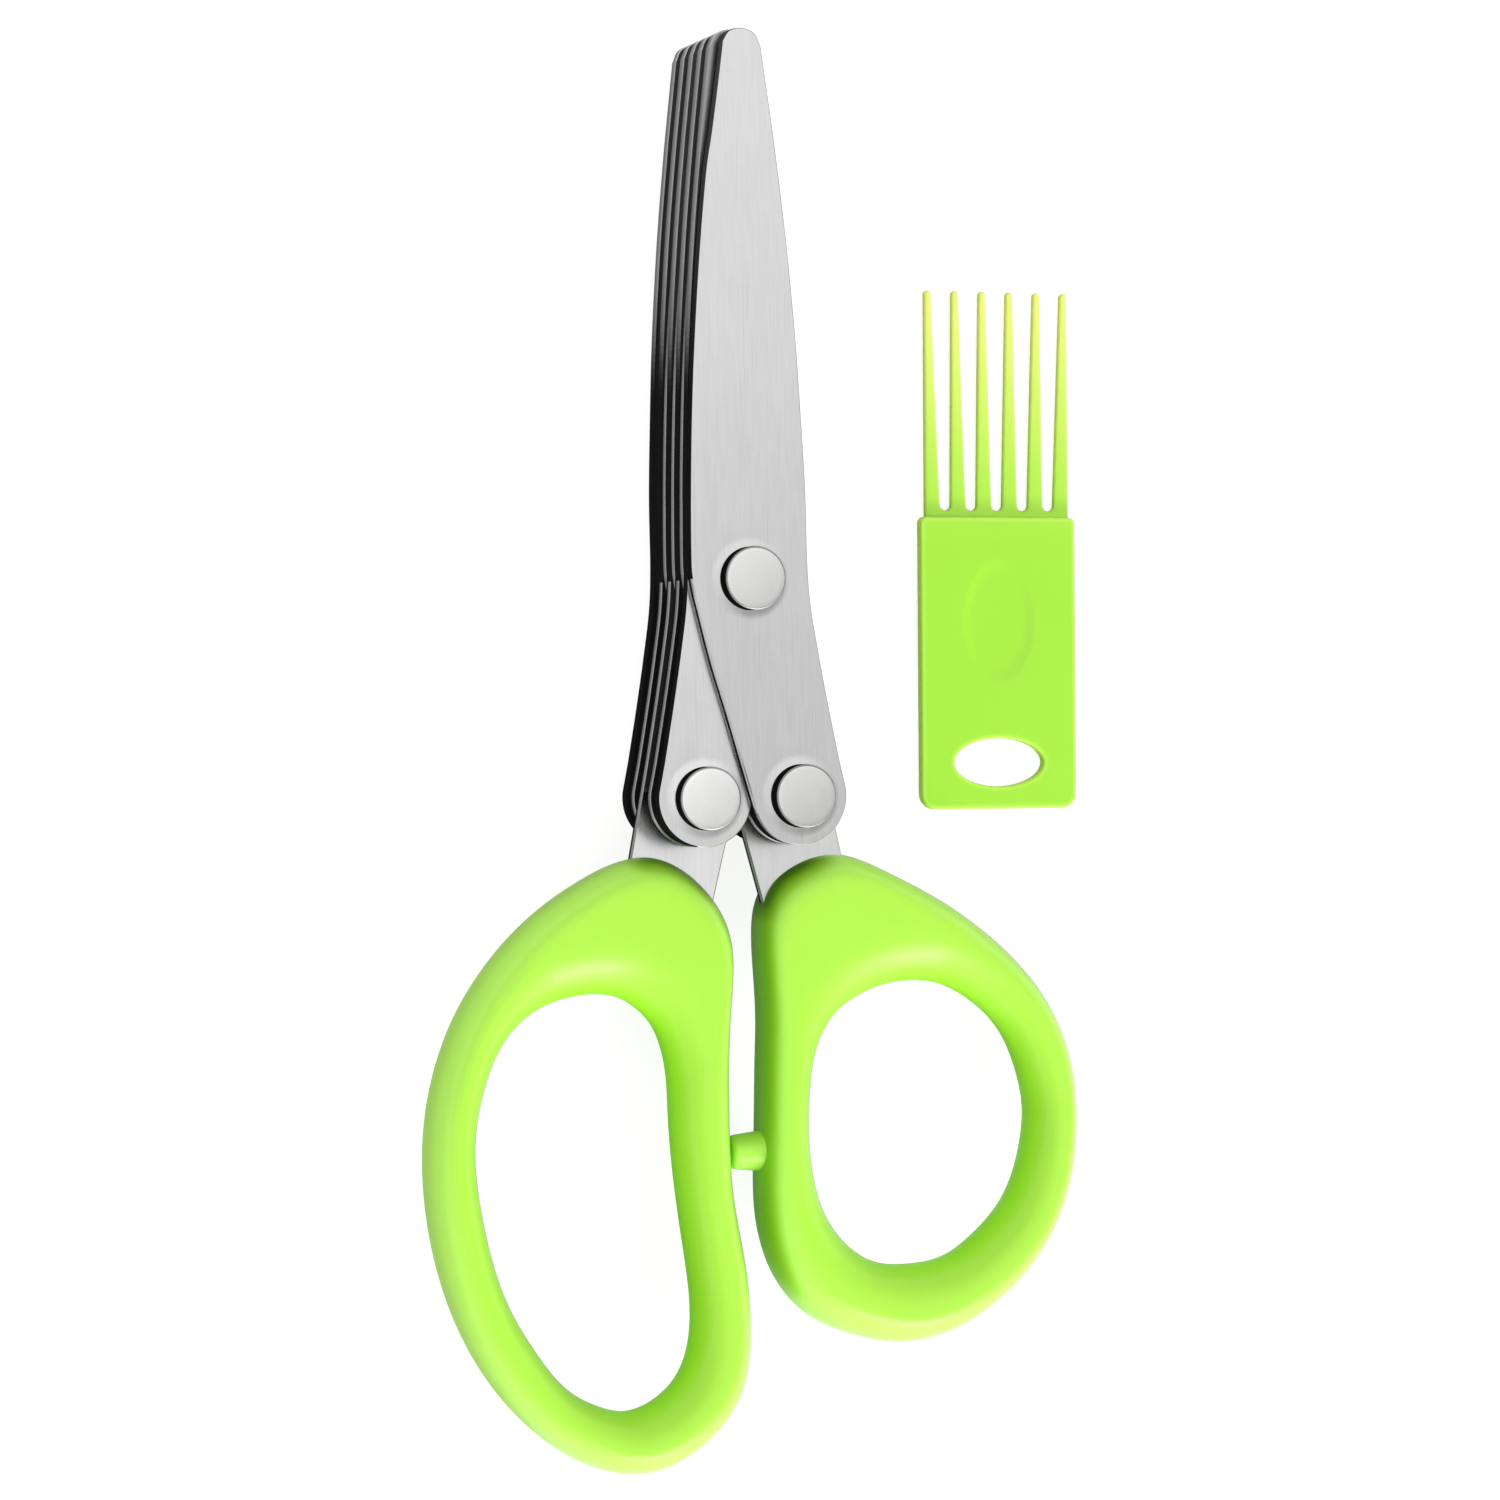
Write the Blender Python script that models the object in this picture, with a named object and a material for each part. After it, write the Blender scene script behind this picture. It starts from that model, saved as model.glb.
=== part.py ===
"""Herb scissors with five blades a side, and the flat comb that cleans them.

The scissors lie closed on a table. +Y runs along the blades to their tips, +Z goes up through the stack of
blades, and the pivot's axis is the Z axis, with Z = 0 on the table. Blades of the right and the left set
alternate from the top down, and the middle blade of each set runs on as a tang into its handle.
Every shape of the left set is the right set's, mirrored and turned a little further closed.
"""

import math

import bmesh
import bpy
import numpy as np
from mathutils import Vector
from mathutils.geometry import tessellate_polygon

# Stack of blades
BLADES_PER_SET = 5
TANG_BLADE = 3
BLADE_THICKNESS = 0.0015
BLADE_GAP = 0.0003

# Blade outline, right set: pivot to tip, and half of its width at the pivot
BLADE_REACH = 0.0723
BLADE_HALF_WIDTH = 0.0082
RIVET_DROP = 0.0287
RIVET_SPREAD = 0.0064
BLADE_END_RADIUS = 0.0065
CLOSING_TURN = math.radians(0.3)

# Places along the blade as shares of the half width and of the reach, from the pivot up
EDGE_SHARES = [(0.99, 0.03), (0.98, 0.16), (0.93, 0.3), (0.86, 0.45), (0.74, 0.62), (0.59, 0.78), (0.48, 0.88)]
TIP_SHARES = [(0.38, 0.967), (0.29, 0.989), (0.15, 0.998), (0.0, 1.0), (-0.17, 0.994), (-0.28, 0.976)]
SPINE_SHARES = [(-0.39, 0.89), (-0.5, 0.81), (-0.62, 0.73), (-0.77, 0.57), (-0.9, 0.38), (-0.97, 0.21), (-1.0, 0.05)]

# Places below the pivot as shares of the half width and of the rivets' drop
WAIST_SHARES = [(-0.975, -0.01), (-0.86, -0.16), (-0.66, -0.39), (-0.43, -0.61), (-0.21, -0.83)]
HIP_SHARES = [(1.46, -0.83), (1.29, -0.575), (1.14, -0.33), (1.03, -0.12)]
WAIST_END_DEG = 196.0
HIP_START_DEG = 13.0

# Tang: reach beyond the handle rivet, and its outline as shares of that reach and of the blade end's radius
TANG_REACH = 0.023
TANG_SHARES = [
    (0.58, -0.94), (0.74, -0.56), (0.94, -0.5), (1.0, -0.38),
    (1.0, 0.38), (0.94, 0.5), (0.74, 0.62), (0.52, 0.96), (0.0, 0.99),
]
TANG_HOLE_RADIUS = 0.0018
TANG_HOLE_SHARE = 0.82

# Rivets
HEAD_RADIUS = 0.0042
HEAD_HEIGHT = 0.0023
HEAD_EDGE = 0.00025
SHANK_RADIUS = 0.0022
SHANK_CLEARANCE = 0.0003
CAP_FLOOR = 0.0008
SPACER_RADIUS = 0.0036

# Handles: each ring is set by the size of the box round it
HANDLE_THICKNESS = 0.012
OUTER_ROLL = 0.004
INNER_ROLL = 0.0065
OUTER_ROLL_SHARE = 0.42
INNER_ROLL_SHARE = 0.58
ROLL_POWER = 2.2
TANG_CLEARANCE = 0.0003
RIGHT_RING_LENGTH = 0.0661
RIGHT_RING_WIDTH = 0.0455
RIGHT_RING_TOP = -0.0366
RIGHT_RING_SIDE = 0.00215
LEFT_RING_LENGTH = 0.0814
LEFT_RING_WIDTH = 0.0439
LEFT_RING_TOP = -0.0363
LEFT_RING_SIDE = 0.00045

# Sections round each ring, from the shoulder over the tang, down the inner side and round. Each one holds
# the outer and the inner point as shares of the ring's width, from its inner side, and of its length
RIGHT_SECTION_SHARES = [
    (0.250, 0.000, 0.394, 0.273), (0.096, 0.031, 0.300, 0.300), (0.020, 0.114, 0.232, 0.339),
    (0.020, 0.271, 0.184, 0.402), (0.015, 0.415, 0.162, 0.475), (0.007, 0.566, 0.155, 0.566),
    (0.001, 0.706, 0.173, 0.668), (0.036, 0.827, 0.217, 0.746), (0.131, 0.923, 0.287, 0.803),
    (0.274, 0.976, 0.376, 0.836), (0.436, 1.000, 0.481, 0.842), (0.606, 0.979, 0.584, 0.831),
    (0.764, 0.915, 0.676, 0.794), (0.895, 0.817, 0.766, 0.735), (0.978, 0.687, 0.825, 0.660),
    (1.000, 0.551, 0.856, 0.566), (0.982, 0.427, 0.845, 0.483), (0.910, 0.310, 0.794, 0.390),
    (0.781, 0.203, 0.705, 0.321), (0.606, 0.110, 0.593, 0.276), (0.422, 0.041, 0.488, 0.265),
]
LEFT_SECTION_SHARES = [
    (0.296, 0.001, 0.412, 0.224), (0.134, 0.045, 0.320, 0.252), (0.041, 0.134, 0.263, 0.297),
    (0.046, 0.254, 0.236, 0.365), (0.055, 0.397, 0.230, 0.445), (0.050, 0.543, 0.214, 0.549),
    (0.016, 0.661, 0.191, 0.647), (0.000, 0.776, 0.175, 0.742), (0.034, 0.881, 0.199, 0.822),
    (0.150, 0.958, 0.270, 0.873), (0.321, 1.000, 0.376, 0.898), (0.515, 0.982, 0.479, 0.887),
    (0.703, 0.911, 0.591, 0.849), (0.862, 0.797, 0.698, 0.772), (0.964, 0.653, 0.789, 0.668),
    (1.000, 0.500, 0.847, 0.512), (0.970, 0.357, 0.834, 0.396), (0.870, 0.225, 0.765, 0.301),
    (0.702, 0.113, 0.656, 0.245), (0.499, 0.036, 0.533, 0.223),
]

# Stop nub on the right handle, on the side that faces the left handle
NUB_PLACE_SHARE = 0.596
NUB_ROOT_RADIUS = 0.0029
NUB_TIP_RADIUS = 0.0023
NUB_EDGE = 0.0008
NUB_ROOT_DEPTH = 0.002
NUB_GAP = 0.0003

# Comb: body with a hanging hole and a thumb rest, then a thinner root band that carries the teeth
COMB_PLACE = (0.0425, -0.01147)
COMB_TURN = math.radians(-0.9)
COMB_WIDTH = 0.0230
COMB_BODY_LENGTH = 0.0403
COMB_THICKNESS = 0.0018
COMB_CORNER_RADIUS = 0.0022
COMB_SHOULDER_RADIUS = 0.0009
COMB_HOLE_LENGTH = 0.0132
COMB_HOLE_HEIGHT = 0.0066
COMB_HOLE_DROP = 0.0137
REST_LENGTH = 0.0178
REST_WIDTH = 0.0112
REST_RISE = 0.0058
REST_DEPTH = 0.0003
TOOTH_COUNT = 6
TOOTH_LENGTH = 0.0302
TOOTH_ROOT_WIDTH = 0.0023
TOOTH_TIP_WIDTH = 0.0011
TOOTH_ROOT_PITCH = 0.00381
TOOTH_TIP_PITCH = 0.00403
TOOTH_THICKNESS = 0.0011
BAND_RISE = 0.0009
BAND_OVERLAP = 0.002

# Steps that round shapes are cut into, and the overrun of every cut
ROUND_STEPS = 20
CURVE_STEPS = 3
ARC_STEPS = 9
RING_STEPS = 60
ROLL_STEPS = 3
TOOTH_TIP_STEPS = 4
CUT_OVERRUN = 0.002

BLADE_PITCH = BLADE_THICKNESS + BLADE_GAP
STACK_BOTTOM = HEAD_HEIGHT + BLADE_GAP
STACK_HEIGHT = 2 * BLADES_PER_SET * BLADE_PITCH - BLADE_GAP
HANDLE_MIDDLE = STACK_BOTTOM + STACK_HEIGHT / 2
ARM_ANGLE = math.atan2(RIVET_SPREAD, RIVET_DROP)
RIGHT_RIVET = (RIVET_SPREAD, -RIVET_DROP)


def clear_scene():
    """Take out whatever the open scene holds."""
    for item in list(bpy.data.objects):
        bpy.data.objects.remove(item)


def make_material(name, colour, roughness, metallic):
    """A Principled material with one colour, roughness and metallic value."""
    material = bpy.data.materials.new(name)
    material.use_nodes = True
    shader = material.node_tree.nodes["Principled BSDF"]
    shader.inputs["Base Color"].default_value = (*colour, 1.0)
    shader.inputs["Roughness"].default_value = roughness
    shader.inputs["Metallic"].default_value = metallic
    return material


def mesh_of(name, points, faces):
    """A mesh whose faces are turned to point outwards."""
    mesh = bpy.data.meshes.new(name)
    mesh.from_pydata([tuple(point) for point in points], [], faces)
    work = bmesh.new()
    work.from_mesh(mesh)
    bmesh.ops.recalc_face_normals(work, faces=work.faces)
    work.to_mesh(mesh)
    work.free()
    return mesh


def add_object(name, mesh, material, parent, place=(0, 0, 0), turn=0.0):
    """An object at a place, turned about Z, and carried by its parent."""
    item = bpy.data.objects.new(name, mesh)
    if not mesh.materials:
        mesh.materials.append(material)
    item.location = place
    item.rotation_euler = (0, 0, turn)
    item.parent = parent
    bpy.context.collection.objects.link(item)
    return item


def add_axis(name, place=(0, 0, 0)):
    """An empty that marks a joint's axis and carries the pieces that move about it."""
    empty = bpy.data.objects.new(name, None)
    empty.location = place
    bpy.context.collection.objects.link(empty)
    return empty


def shade_round(item, limit=math.radians(35)):
    """Smooth shading that keeps the edges sharper than the limit."""
    item.data.shade_smooth()
    item.data.set_sharp_from_angle(angle=limit)


def closed_curve(points, count):
    """Smooth closed curve through the points, with count places on it.

    A uniform cubic B-spline passes through every point once its control points solve the ring of
    equations (previous + 4 own + next) / 6 = point."""
    points = np.asarray(points, float)
    total = len(points)
    unit = np.eye(total)
    control = np.linalg.solve((4 * unit + np.roll(unit, 1, 0) + np.roll(unit, -1, 0)) / 6, points)
    place = np.arange(count) * total / count
    first = place.astype(int)
    part = (place - first)[:, None]
    weights = [(1 - part) ** 3, 3 * part**3 - 6 * part**2 + 4, 3 * part + 3 * part**2 - 3 * part**3 + 1, part**3]
    return sum(weight / 6 * control[(first + step - 1) % total] for step, weight in enumerate(weights))


def smooth_line(points, steps):
    """Smooth open line through the points: each span is a Hermite curve whose slopes join its neighbours."""
    points = np.asarray(points, float)
    slopes = np.gradient(points, axis=0)
    line = []
    for start, end, leave, arrive in zip(points, points[1:], slopes, slopes[1:]):
        for part in np.arange(steps) / steps:
            rise = 3 * part**2 - 2 * part**3
            line.append(
                start * (1 - rise) + end * rise
                + leave * (part - 2 * part**2 + part**3) + arrive * (part**3 - part**2)
            )
    line.append(points[-1])
    return np.array(line)


def circle(centre, radius, steps=ROUND_STEPS):
    """Points round a circle, counter-clockwise."""
    turn = np.arange(steps) * math.tau / steps
    return np.stack([centre[0] + radius * np.cos(turn), centre[1] + radius * np.sin(turn)], 1)


def arc(centre, radius, start, end, steps=ARC_STEPS):
    """Points along an arc between two angles in degrees, both ends left out."""
    turn = np.radians(start + (end - start) * np.arange(1, steps) / steps)
    return np.stack([centre[0] + radius * np.cos(turn), centre[1] + radius * np.sin(turn)], 1)


def plate(name, outline, holes, low, high):
    """Flat plate: an outline with holes in it, from a low to a high level."""
    loops = [np.asarray(loop) for loop in (outline, *holes)]
    flat = np.concatenate(loops)
    total = len(flat)
    points = [(x, y, level) for level in (low, high) for x, y in flat]
    cover = tessellate_polygon([[Vector((x, y, 0)) for x, y in loop] for loop in loops])
    faces = [tuple(corner + lift for corner in face) for face in cover for lift in (0, total)]
    faces = [face for face in faces if len(set(face)) == len(face)]
    start = 0
    for loop in loops:
        for step in range(len(loop)):
            here = start + step
            after = start + (step + 1) % len(loop)
            faces.append((here, after, after + total, here + total))
        start += len(loop)
    return mesh_of(name, points, faces)


def turned(name, profile, steps=ROUND_STEPS):
    """Body of revolution about Z, closed by a point on the axis at both ends of its profile."""
    rings = profile[1:-1]
    points = [(0, 0, profile[0][1])]
    for radius, level in rings:
        points += [(x, y, level) for x, y in circle((0, 0), radius, steps)]
    points.append((0, 0, profile[-1][1]))
    last = len(points) - 1
    faces = []
    for step in range(steps):
        after = (step + 1) % steps
        faces.append((0, 1 + after, 1 + step))
        for ring in range(len(rings) - 1):
            low = 1 + ring * steps
            high = low + steps
            faces.append((low + step, low + after, high + after, high + step))
        top = 1 + (len(rings) - 1) * steps
        faces.append((top + step, top + after, last))
    return mesh_of(name, points, faces)


def tube(name, outer, inner, height, steps=ROUND_STEPS):
    """Ring with a round hole, standing on its lower face."""
    return plate(name, circle((0, 0), outer, steps), [circle((0, 0), inner, steps)], 0, height)


def boolean(item, cutter, operation):
    """Cut a helper from an object, or join it on, and remove the helper."""
    modifier = item.modifiers.new(operation.lower(), "BOOLEAN")
    modifier.operation = operation
    modifier.object = cutter
    modifier.solver = "EXACT"
    bpy.context.view_layer.update()
    graph = bpy.context.evaluated_depsgraph_get()
    result = bpy.data.meshes.new_from_object(item.evaluated_get(graph), depsgraph=graph)
    item.modifiers.clear()
    item.data = result
    bpy.data.objects.remove(cutter)


def to_left(points):
    """Carry points of the right set to the left set: mirrored, then turned a little further closed."""
    x, y = np.asarray(points, float).T
    cos, sin = math.cos(CLOSING_TURN), math.sin(CLOSING_TURN)
    return np.stack([-x * cos - y * sin, -x * sin + y * cos], 1)


def of_blade(shares, reach):
    """Shares of the blade's half width and of a reach as places."""
    return [(across * BLADE_HALF_WIDTH, along * reach) for across, along in shares]


def blade_outline():
    """Outline of a right-set blade with a round end, counter-clockwise from the end's right side."""
    edge = of_blade(HIP_SHARES, RIVET_DROP) + of_blade(EDGE_SHARES + TIP_SHARES[:1], BLADE_REACH)
    spine = of_blade(TIP_SHARES[-1:] + SPINE_SHARES, BLADE_REACH) + of_blade(WAIST_SHARES, RIVET_DROP)
    start, end = HIP_START_DEG, WAIST_END_DEG - 360
    round_end = arc(RIGHT_RIVET, BLADE_END_RADIUS, end, start)
    tip = of_blade(TIP_SHARES[1:-1], BLADE_REACH)
    return np.concatenate([smooth_line(edge, CURVE_STEPS), tip, smooth_line(spine, CURVE_STEPS), round_end])


def arm_point(along, across):
    """Place measured from the right rivet: along the arm away from the pivot, and across it."""
    cos, sin = math.cos(ARM_ANGLE), math.sin(ARM_ANGLE)
    return (
        RIGHT_RIVET[0] + along * sin + across * cos,
        RIGHT_RIVET[1] - along * cos + across * sin,
    )


def tang_end(clearance=0.0):
    """Outline of the tang beyond the rivet, grown by a clearance."""
    half = BLADE_END_RADIUS + clearance
    reach = TANG_REACH + clearance
    return [arm_point(along * reach, across * half) for along, across in TANG_SHARES]


def tang_blade_outline():
    """Outline of the middle blade, which runs on into the handle."""
    whole = blade_outline()
    body = whole[: len(whole) - ARC_STEPS + 1]
    return np.concatenate([body, tang_end()])


def blade_holes(with_tang):
    """Holes for the pivot and the handle rivet, and the tang's own hole for the handle's post."""
    radius = SHANK_RADIUS + SHANK_CLEARANCE
    holes = [circle((0, 0), radius), circle(RIGHT_RIVET, radius)]
    if with_tang:
        holes.append(circle(arm_point(TANG_HOLE_SHARE * TANG_REACH, 0), TANG_HOLE_RADIUS))
    return holes


def blade_level(side, number):
    """Height of a blade's lower face: right blades take the odd places from the top, left blades the even."""
    place = 2 * (number - 1) + (1 if side == "left" else 0)
    return STACK_BOTTOM + STACK_HEIGHT - BLADE_THICKNESS - place * BLADE_PITCH


def on_side(side, points):
    """Points of the right set, or the same points carried to the left set."""
    return to_left(points) if side == "left" else np.asarray(points, float)


def make_blades(side, material, parent):
    """Five blades of one set, the middle one with its tang."""
    outlines = {False: blade_outline(), True: tang_blade_outline()}
    meshes = {}
    for with_tang, outline in outlines.items():
        holes = [on_side(side, hole) for hole in blade_holes(with_tang)]
        name = f"{side}_{'tang_' if with_tang else ''}blade_shape"
        meshes[with_tang] = plate(name, on_side(side, outline), holes, 0, BLADE_THICKNESS)
    for number in range(1, BLADES_PER_SET + 1):
        with_tang = number == TANG_BLADE
        name = f"{side}_tang_blade" if with_tang else f"{side}_blade_{number}"
        add_object(name, meshes[with_tang], material, parent, (0, 0, blade_level(side, number)))


def make_spacers(side, material, parent):
    """Washers on the handle rivet that hold the blades of one set apart."""
    mesh = tube(f"{side}_spacer_shape", SPACER_RADIUS, SHANK_RADIUS + SHANK_CLEARANCE, BLADE_THICKNESS)
    x, y = on_side(side, [RIGHT_RIVET])[0]
    for number in range(1, BLADES_PER_SET):
        level = blade_level(side, number) - BLADE_PITCH
        add_object(f"{side}_spacer_{number}", mesh, material, parent, (x, y, level))


def rivet_head(level, direction):
    """Profile of a flat head with a broken edge, from its rim at a level to the middle of its face."""
    face = level + direction * HEAD_HEIGHT
    return [
        (HEAD_RADIUS, level),
        (HEAD_RADIUS, face - direction * HEAD_EDGE),
        (HEAD_RADIUS - HEAD_EDGE, face),
        (0, face),
    ]


def make_rivet(name, place, top, bottom, material, parent):
    """Rivet through a stack, and the back cap that its shank ends in."""
    seat = top + BLADE_GAP
    cap_top = bottom - BLADE_GAP
    cap_bottom = cap_top - HEAD_HEIGHT
    socket = cap_bottom + CAP_FLOOR
    shank_end = socket + SHANK_CLEARANCE
    shank = [(0, shank_end), (SHANK_RADIUS, shank_end), (SHANK_RADIUS, seat)]
    body = add_object(name, turned(name, shank + rivet_head(seat, 1)), material, parent, (*place, 0))
    shade_round(body)
    bore = SHANK_RADIUS + SHANK_CLEARANCE
    shell = [(0, socket), (bore, socket), (bore, cap_top)] + rivet_head(cap_top, -1)
    cap = add_object(f"{name}_cap", turned(f"{name}_cap", shell), material, parent, (*place, 0))
    shade_round(cap)


def section_profile():
    """Half of a handle's section as pairs: (share of the outer roll, share of the inner roll, height).

    A roll is a quarter of a superellipse, from the middle of the wall up to the flat of the handle."""
    turn = np.arange(ROLL_STEPS + 1) / ROLL_STEPS * math.pi / 2
    along = 1 - np.cos(turn) ** (2 / ROLL_POWER)
    rise = np.sin(turn) ** (2 / ROLL_POWER)
    outer = [(share, 0.0, height) for share, height in zip(along, rise)]
    inner = [(0.0, share, height) for share, height in zip(along, rise)]
    return outer, inner


def ring_box(side):
    """Inner side, top, width towards the outside, and length of a handle's ring."""
    if side == "left":
        return LEFT_RING_SIDE, LEFT_RING_TOP, -LEFT_RING_WIDTH, LEFT_RING_LENGTH
    return RIGHT_RING_SIDE, RIGHT_RING_TOP, RIGHT_RING_WIDTH, RIGHT_RING_LENGTH


def ring_sections(side, count):
    """Outer and inner points of the ring's sections, at count places round it."""
    shares = LEFT_SECTION_SHARES if side == "left" else RIGHT_SECTION_SHARES
    start, top, width, length = ring_box(side)
    stations = [
        (start + x0 * width, top - y0 * length, start + x1 * width, top - y1 * length)
        for x0, y0, x1, y1 in shares
    ]
    places = closed_curve(stations, count)
    return places[:, :2], places[:, 2:]


def ring_mesh(side):
    """Handle ring: at each section the wall rolls over from its outer to its inner side."""
    outer, inner = ring_sections(side, RING_STEPS)
    width = np.linalg.norm(inner - outer, axis=1)[:, None]
    across = (inner - outer) / width
    outer_roll = np.minimum(OUTER_ROLL, OUTER_ROLL_SHARE * width)
    inner_roll = np.minimum(INNER_ROLL, INNER_ROLL_SHARE * width)
    from_outer, from_inner = section_profile()
    half = HANDLE_THICKNESS / 2
    upper = [(outer + across * outer_roll * share, height * half) for share, _, height in from_outer]
    upper += [(inner - across * inner_roll * share, height * half) for _, share, height in from_inner[::-1]]
    lower = [(places, -height) for places, height in upper[-2:0:-1]]
    rows = upper + lower
    points = [(x, y, HANDLE_MIDDLE + height) for places, height in rows for x, y in places]
    faces = []
    for row in range(len(rows)):
        for step in range(RING_STEPS):
            here = row * RING_STEPS
            above = (row + 1) % len(rows) * RING_STEPS
            after = (step + 1) % RING_STEPS
            faces.append((here + step, here + after, above + after, above + step))
    return mesh_of(f"{side}_handle", points, faces)


def cut_tang_pocket(side, handle):
    """Cut the slot that the tang sits in. The post through the tang's hole stays."""
    outline = [arm_point(0, -BLADE_END_RADIUS - TANG_CLEARANCE)] + tang_end(TANG_CLEARANCE)
    post = circle(arm_point(TANG_HOLE_SHARE * TANG_REACH, 0), TANG_HOLE_RADIUS - TANG_CLEARANCE)
    level = blade_level(side, TANG_BLADE)
    mesh = plate(
        f"{side}_pocket", on_side(side, outline), [on_side(side, post)],
        level - TANG_CLEARANCE, level + BLADE_THICKNESS + TANG_CLEARANCE,
    )
    boolean(handle, add_object(f"{side}_pocket", mesh, None, None), "DIFFERENCE")


def side_at(side, level):
    """X of the ring's wall that faces the other handle, at a level along Y."""
    outer, _ = ring_sections(side, RING_STEPS)
    near = outer[np.abs(outer[:, 0] - ring_box(side)[0]) < abs(ring_box(side)[2]) / 4]
    near = near[np.argsort(near[:, 1])]
    return float(np.interp(level, near[:, 1], near[:, 0]))


def add_nub(handle):
    """Join on the stop nub, which comes to rest against the left handle."""
    level = RIGHT_RING_TOP - NUB_PLACE_SHARE * RIGHT_RING_LENGTH
    root = side_at("right", level) + NUB_ROOT_DEPTH
    tip = side_at("left", level) + NUB_GAP
    length = root - tip
    profile = [
        (0, 0), (NUB_ROOT_RADIUS, 0), (NUB_TIP_RADIUS, length - NUB_EDGE),
        (NUB_TIP_RADIUS - NUB_EDGE, length), (0, length),
    ]
    nub = add_object("nub", turned("nub", profile), None, None, (root, level, HANDLE_MIDDLE))
    nub.rotation_euler = (0, -math.pi / 2, 0)
    boolean(handle, nub, "UNION")


def make_handle(side, material, parent):
    """Moulded handle with its finger ring and the pocket for the tang."""
    handle = add_object(f"{side}_handle", ring_mesh(side), material, parent)
    cut_tang_pocket(side, handle)
    if side == "right":
        add_nub(handle)
    shade_round(handle)


def rounded_box(width, low, high, low_radius, high_radius):
    """Outline of a rectangle centred on X = 0 with round corners, counter-clockwise."""
    low_side, low_level = width / 2 - low_radius, low + low_radius
    high_side, high_level = width / 2 - high_radius, high - high_radius
    return np.concatenate([
        circle_part((low_side, low_level), low_radius, -90),
        circle_part((high_side, high_level), high_radius, 0),
        circle_part((-high_side, high_level), high_radius, 90),
        circle_part((-low_side, low_level), low_radius, 180),
    ])


def circle_part(centre, radius, start):
    """Quarter of a circle from a start angle in degrees, ends included."""
    turn = np.radians(start + 90 * np.arange(TOOTH_TIP_STEPS + 1) / TOOTH_TIP_STEPS)
    return np.stack([centre[0] + radius * np.cos(turn), centre[1] + radius * np.sin(turn)], 1)


def ellipse(centre, length, height):
    """Points round an ellipse that is length wide and height tall."""
    x, y = circle((0, 0), 1).T
    return np.stack([centre[0] + x * length / 2, centre[1] + y * height / 2], 1)


def teeth_outline():
    """Outline of the root band and its tapered teeth with round tips, counter-clockwise."""
    root_level = COMB_BODY_LENGTH / 2 + BAND_RISE
    tip_level = COMB_BODY_LENGTH / 2 + BAND_RISE + TOOTH_LENGTH
    band = TOOTH_ROOT_PITCH * (TOOTH_COUNT - 1) + TOOTH_ROOT_WIDTH
    base = COMB_BODY_LENGTH / 2 - BAND_OVERLAP
    tip_radius = TOOTH_TIP_WIDTH / 2
    points = [(-band / 2, base), (band / 2, base)]
    for number in reversed(range(TOOTH_COUNT)):
        place = number - (TOOTH_COUNT - 1) / 2
        root = place * TOOTH_ROOT_PITCH
        tip = place * TOOTH_TIP_PITCH
        points.append((root + TOOTH_ROOT_WIDTH / 2, root_level))
        for turn in np.arange(TOOTH_TIP_STEPS + 1) / TOOTH_TIP_STEPS * math.pi:
            points.append((tip + tip_radius * math.cos(turn), tip_level - tip_radius * (1 - math.sin(turn))))
        points.append((root - TOOTH_ROOT_WIDTH / 2, root_level))
    return points


def make_comb(material, parent):
    """Comb: its body with the hanging hole and the thumb rest, and the thinner band with the teeth."""
    low, high = -COMB_BODY_LENGTH / 2, COMB_BODY_LENGTH / 2
    outline = rounded_box(COMB_WIDTH, low, high, COMB_CORNER_RADIUS, COMB_SHOULDER_RADIUS)
    hole = ellipse((0, -COMB_HOLE_DROP), COMB_HOLE_LENGTH, COMB_HOLE_HEIGHT)
    body_mesh = plate("cleaning_comb", outline, [hole], 0, COMB_THICKNESS)
    comb = add_object("cleaning_comb", body_mesh, material, parent)
    teeth_low = (COMB_THICKNESS - TOOTH_THICKNESS) / 2
    teeth_mesh = plate("teeth", teeth_outline(), [], teeth_low, teeth_low + TOOTH_THICKNESS)
    boolean(comb, add_object("teeth", teeth_mesh, None, None), "UNION")
    rest = ellipse((0, REST_RISE), REST_WIDTH, REST_LENGTH)
    rest_mesh = plate("rest", rest, [], COMB_THICKNESS - REST_DEPTH, COMB_THICKNESS + CUT_OVERRUN)
    boolean(comb, add_object("rest", rest_mesh, None, None), "DIFFERENCE")
    comb.location = (*COMB_PLACE, 0)
    comb.rotation_euler = (0, 0, COMB_TURN)


def build():
    """Build the scissors and the comb."""
    clear_scene()
    blade_steel = make_material("blade_steel", (0.62, 0.62, 0.61), 0.38, 1.0)
    rivet_steel = make_material("rivet_steel", (0.72, 0.72, 0.71), 0.3, 1.0)
    handle_plastic = make_material("handle_plastic", (0.42, 0.9, 0.09), 0.36, 0.0)
    comb_plastic = make_material("comb_plastic", (0.37, 0.88, 0.05), 0.42, 0.0)
    frame = add_axis("right_half")
    pivot = add_axis("pivot_axis")
    comb_seat = add_axis("comb_seat")
    parents = {"right": frame, "left": pivot}
    stack_top = STACK_BOTTOM + STACK_HEIGHT
    for side, parent in parents.items():
        make_blades(side, blade_steel, parent)
        make_spacers(side, rivet_steel, parent)
        make_handle(side, handle_plastic, parent)
        place = on_side(side, [RIGHT_RIVET])[0]
        top = blade_level(side, 1) + BLADE_THICKNESS
        bottom = blade_level(side, BLADES_PER_SET)
        make_rivet(f"{side}_rivet", place, top, bottom, rivet_steel, parent)
    make_rivet("pivot_rivet", (0, 0), stack_top, STACK_BOTTOM, rivet_steel, frame)
    make_comb(comb_plastic, comb_seat)


build()
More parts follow.
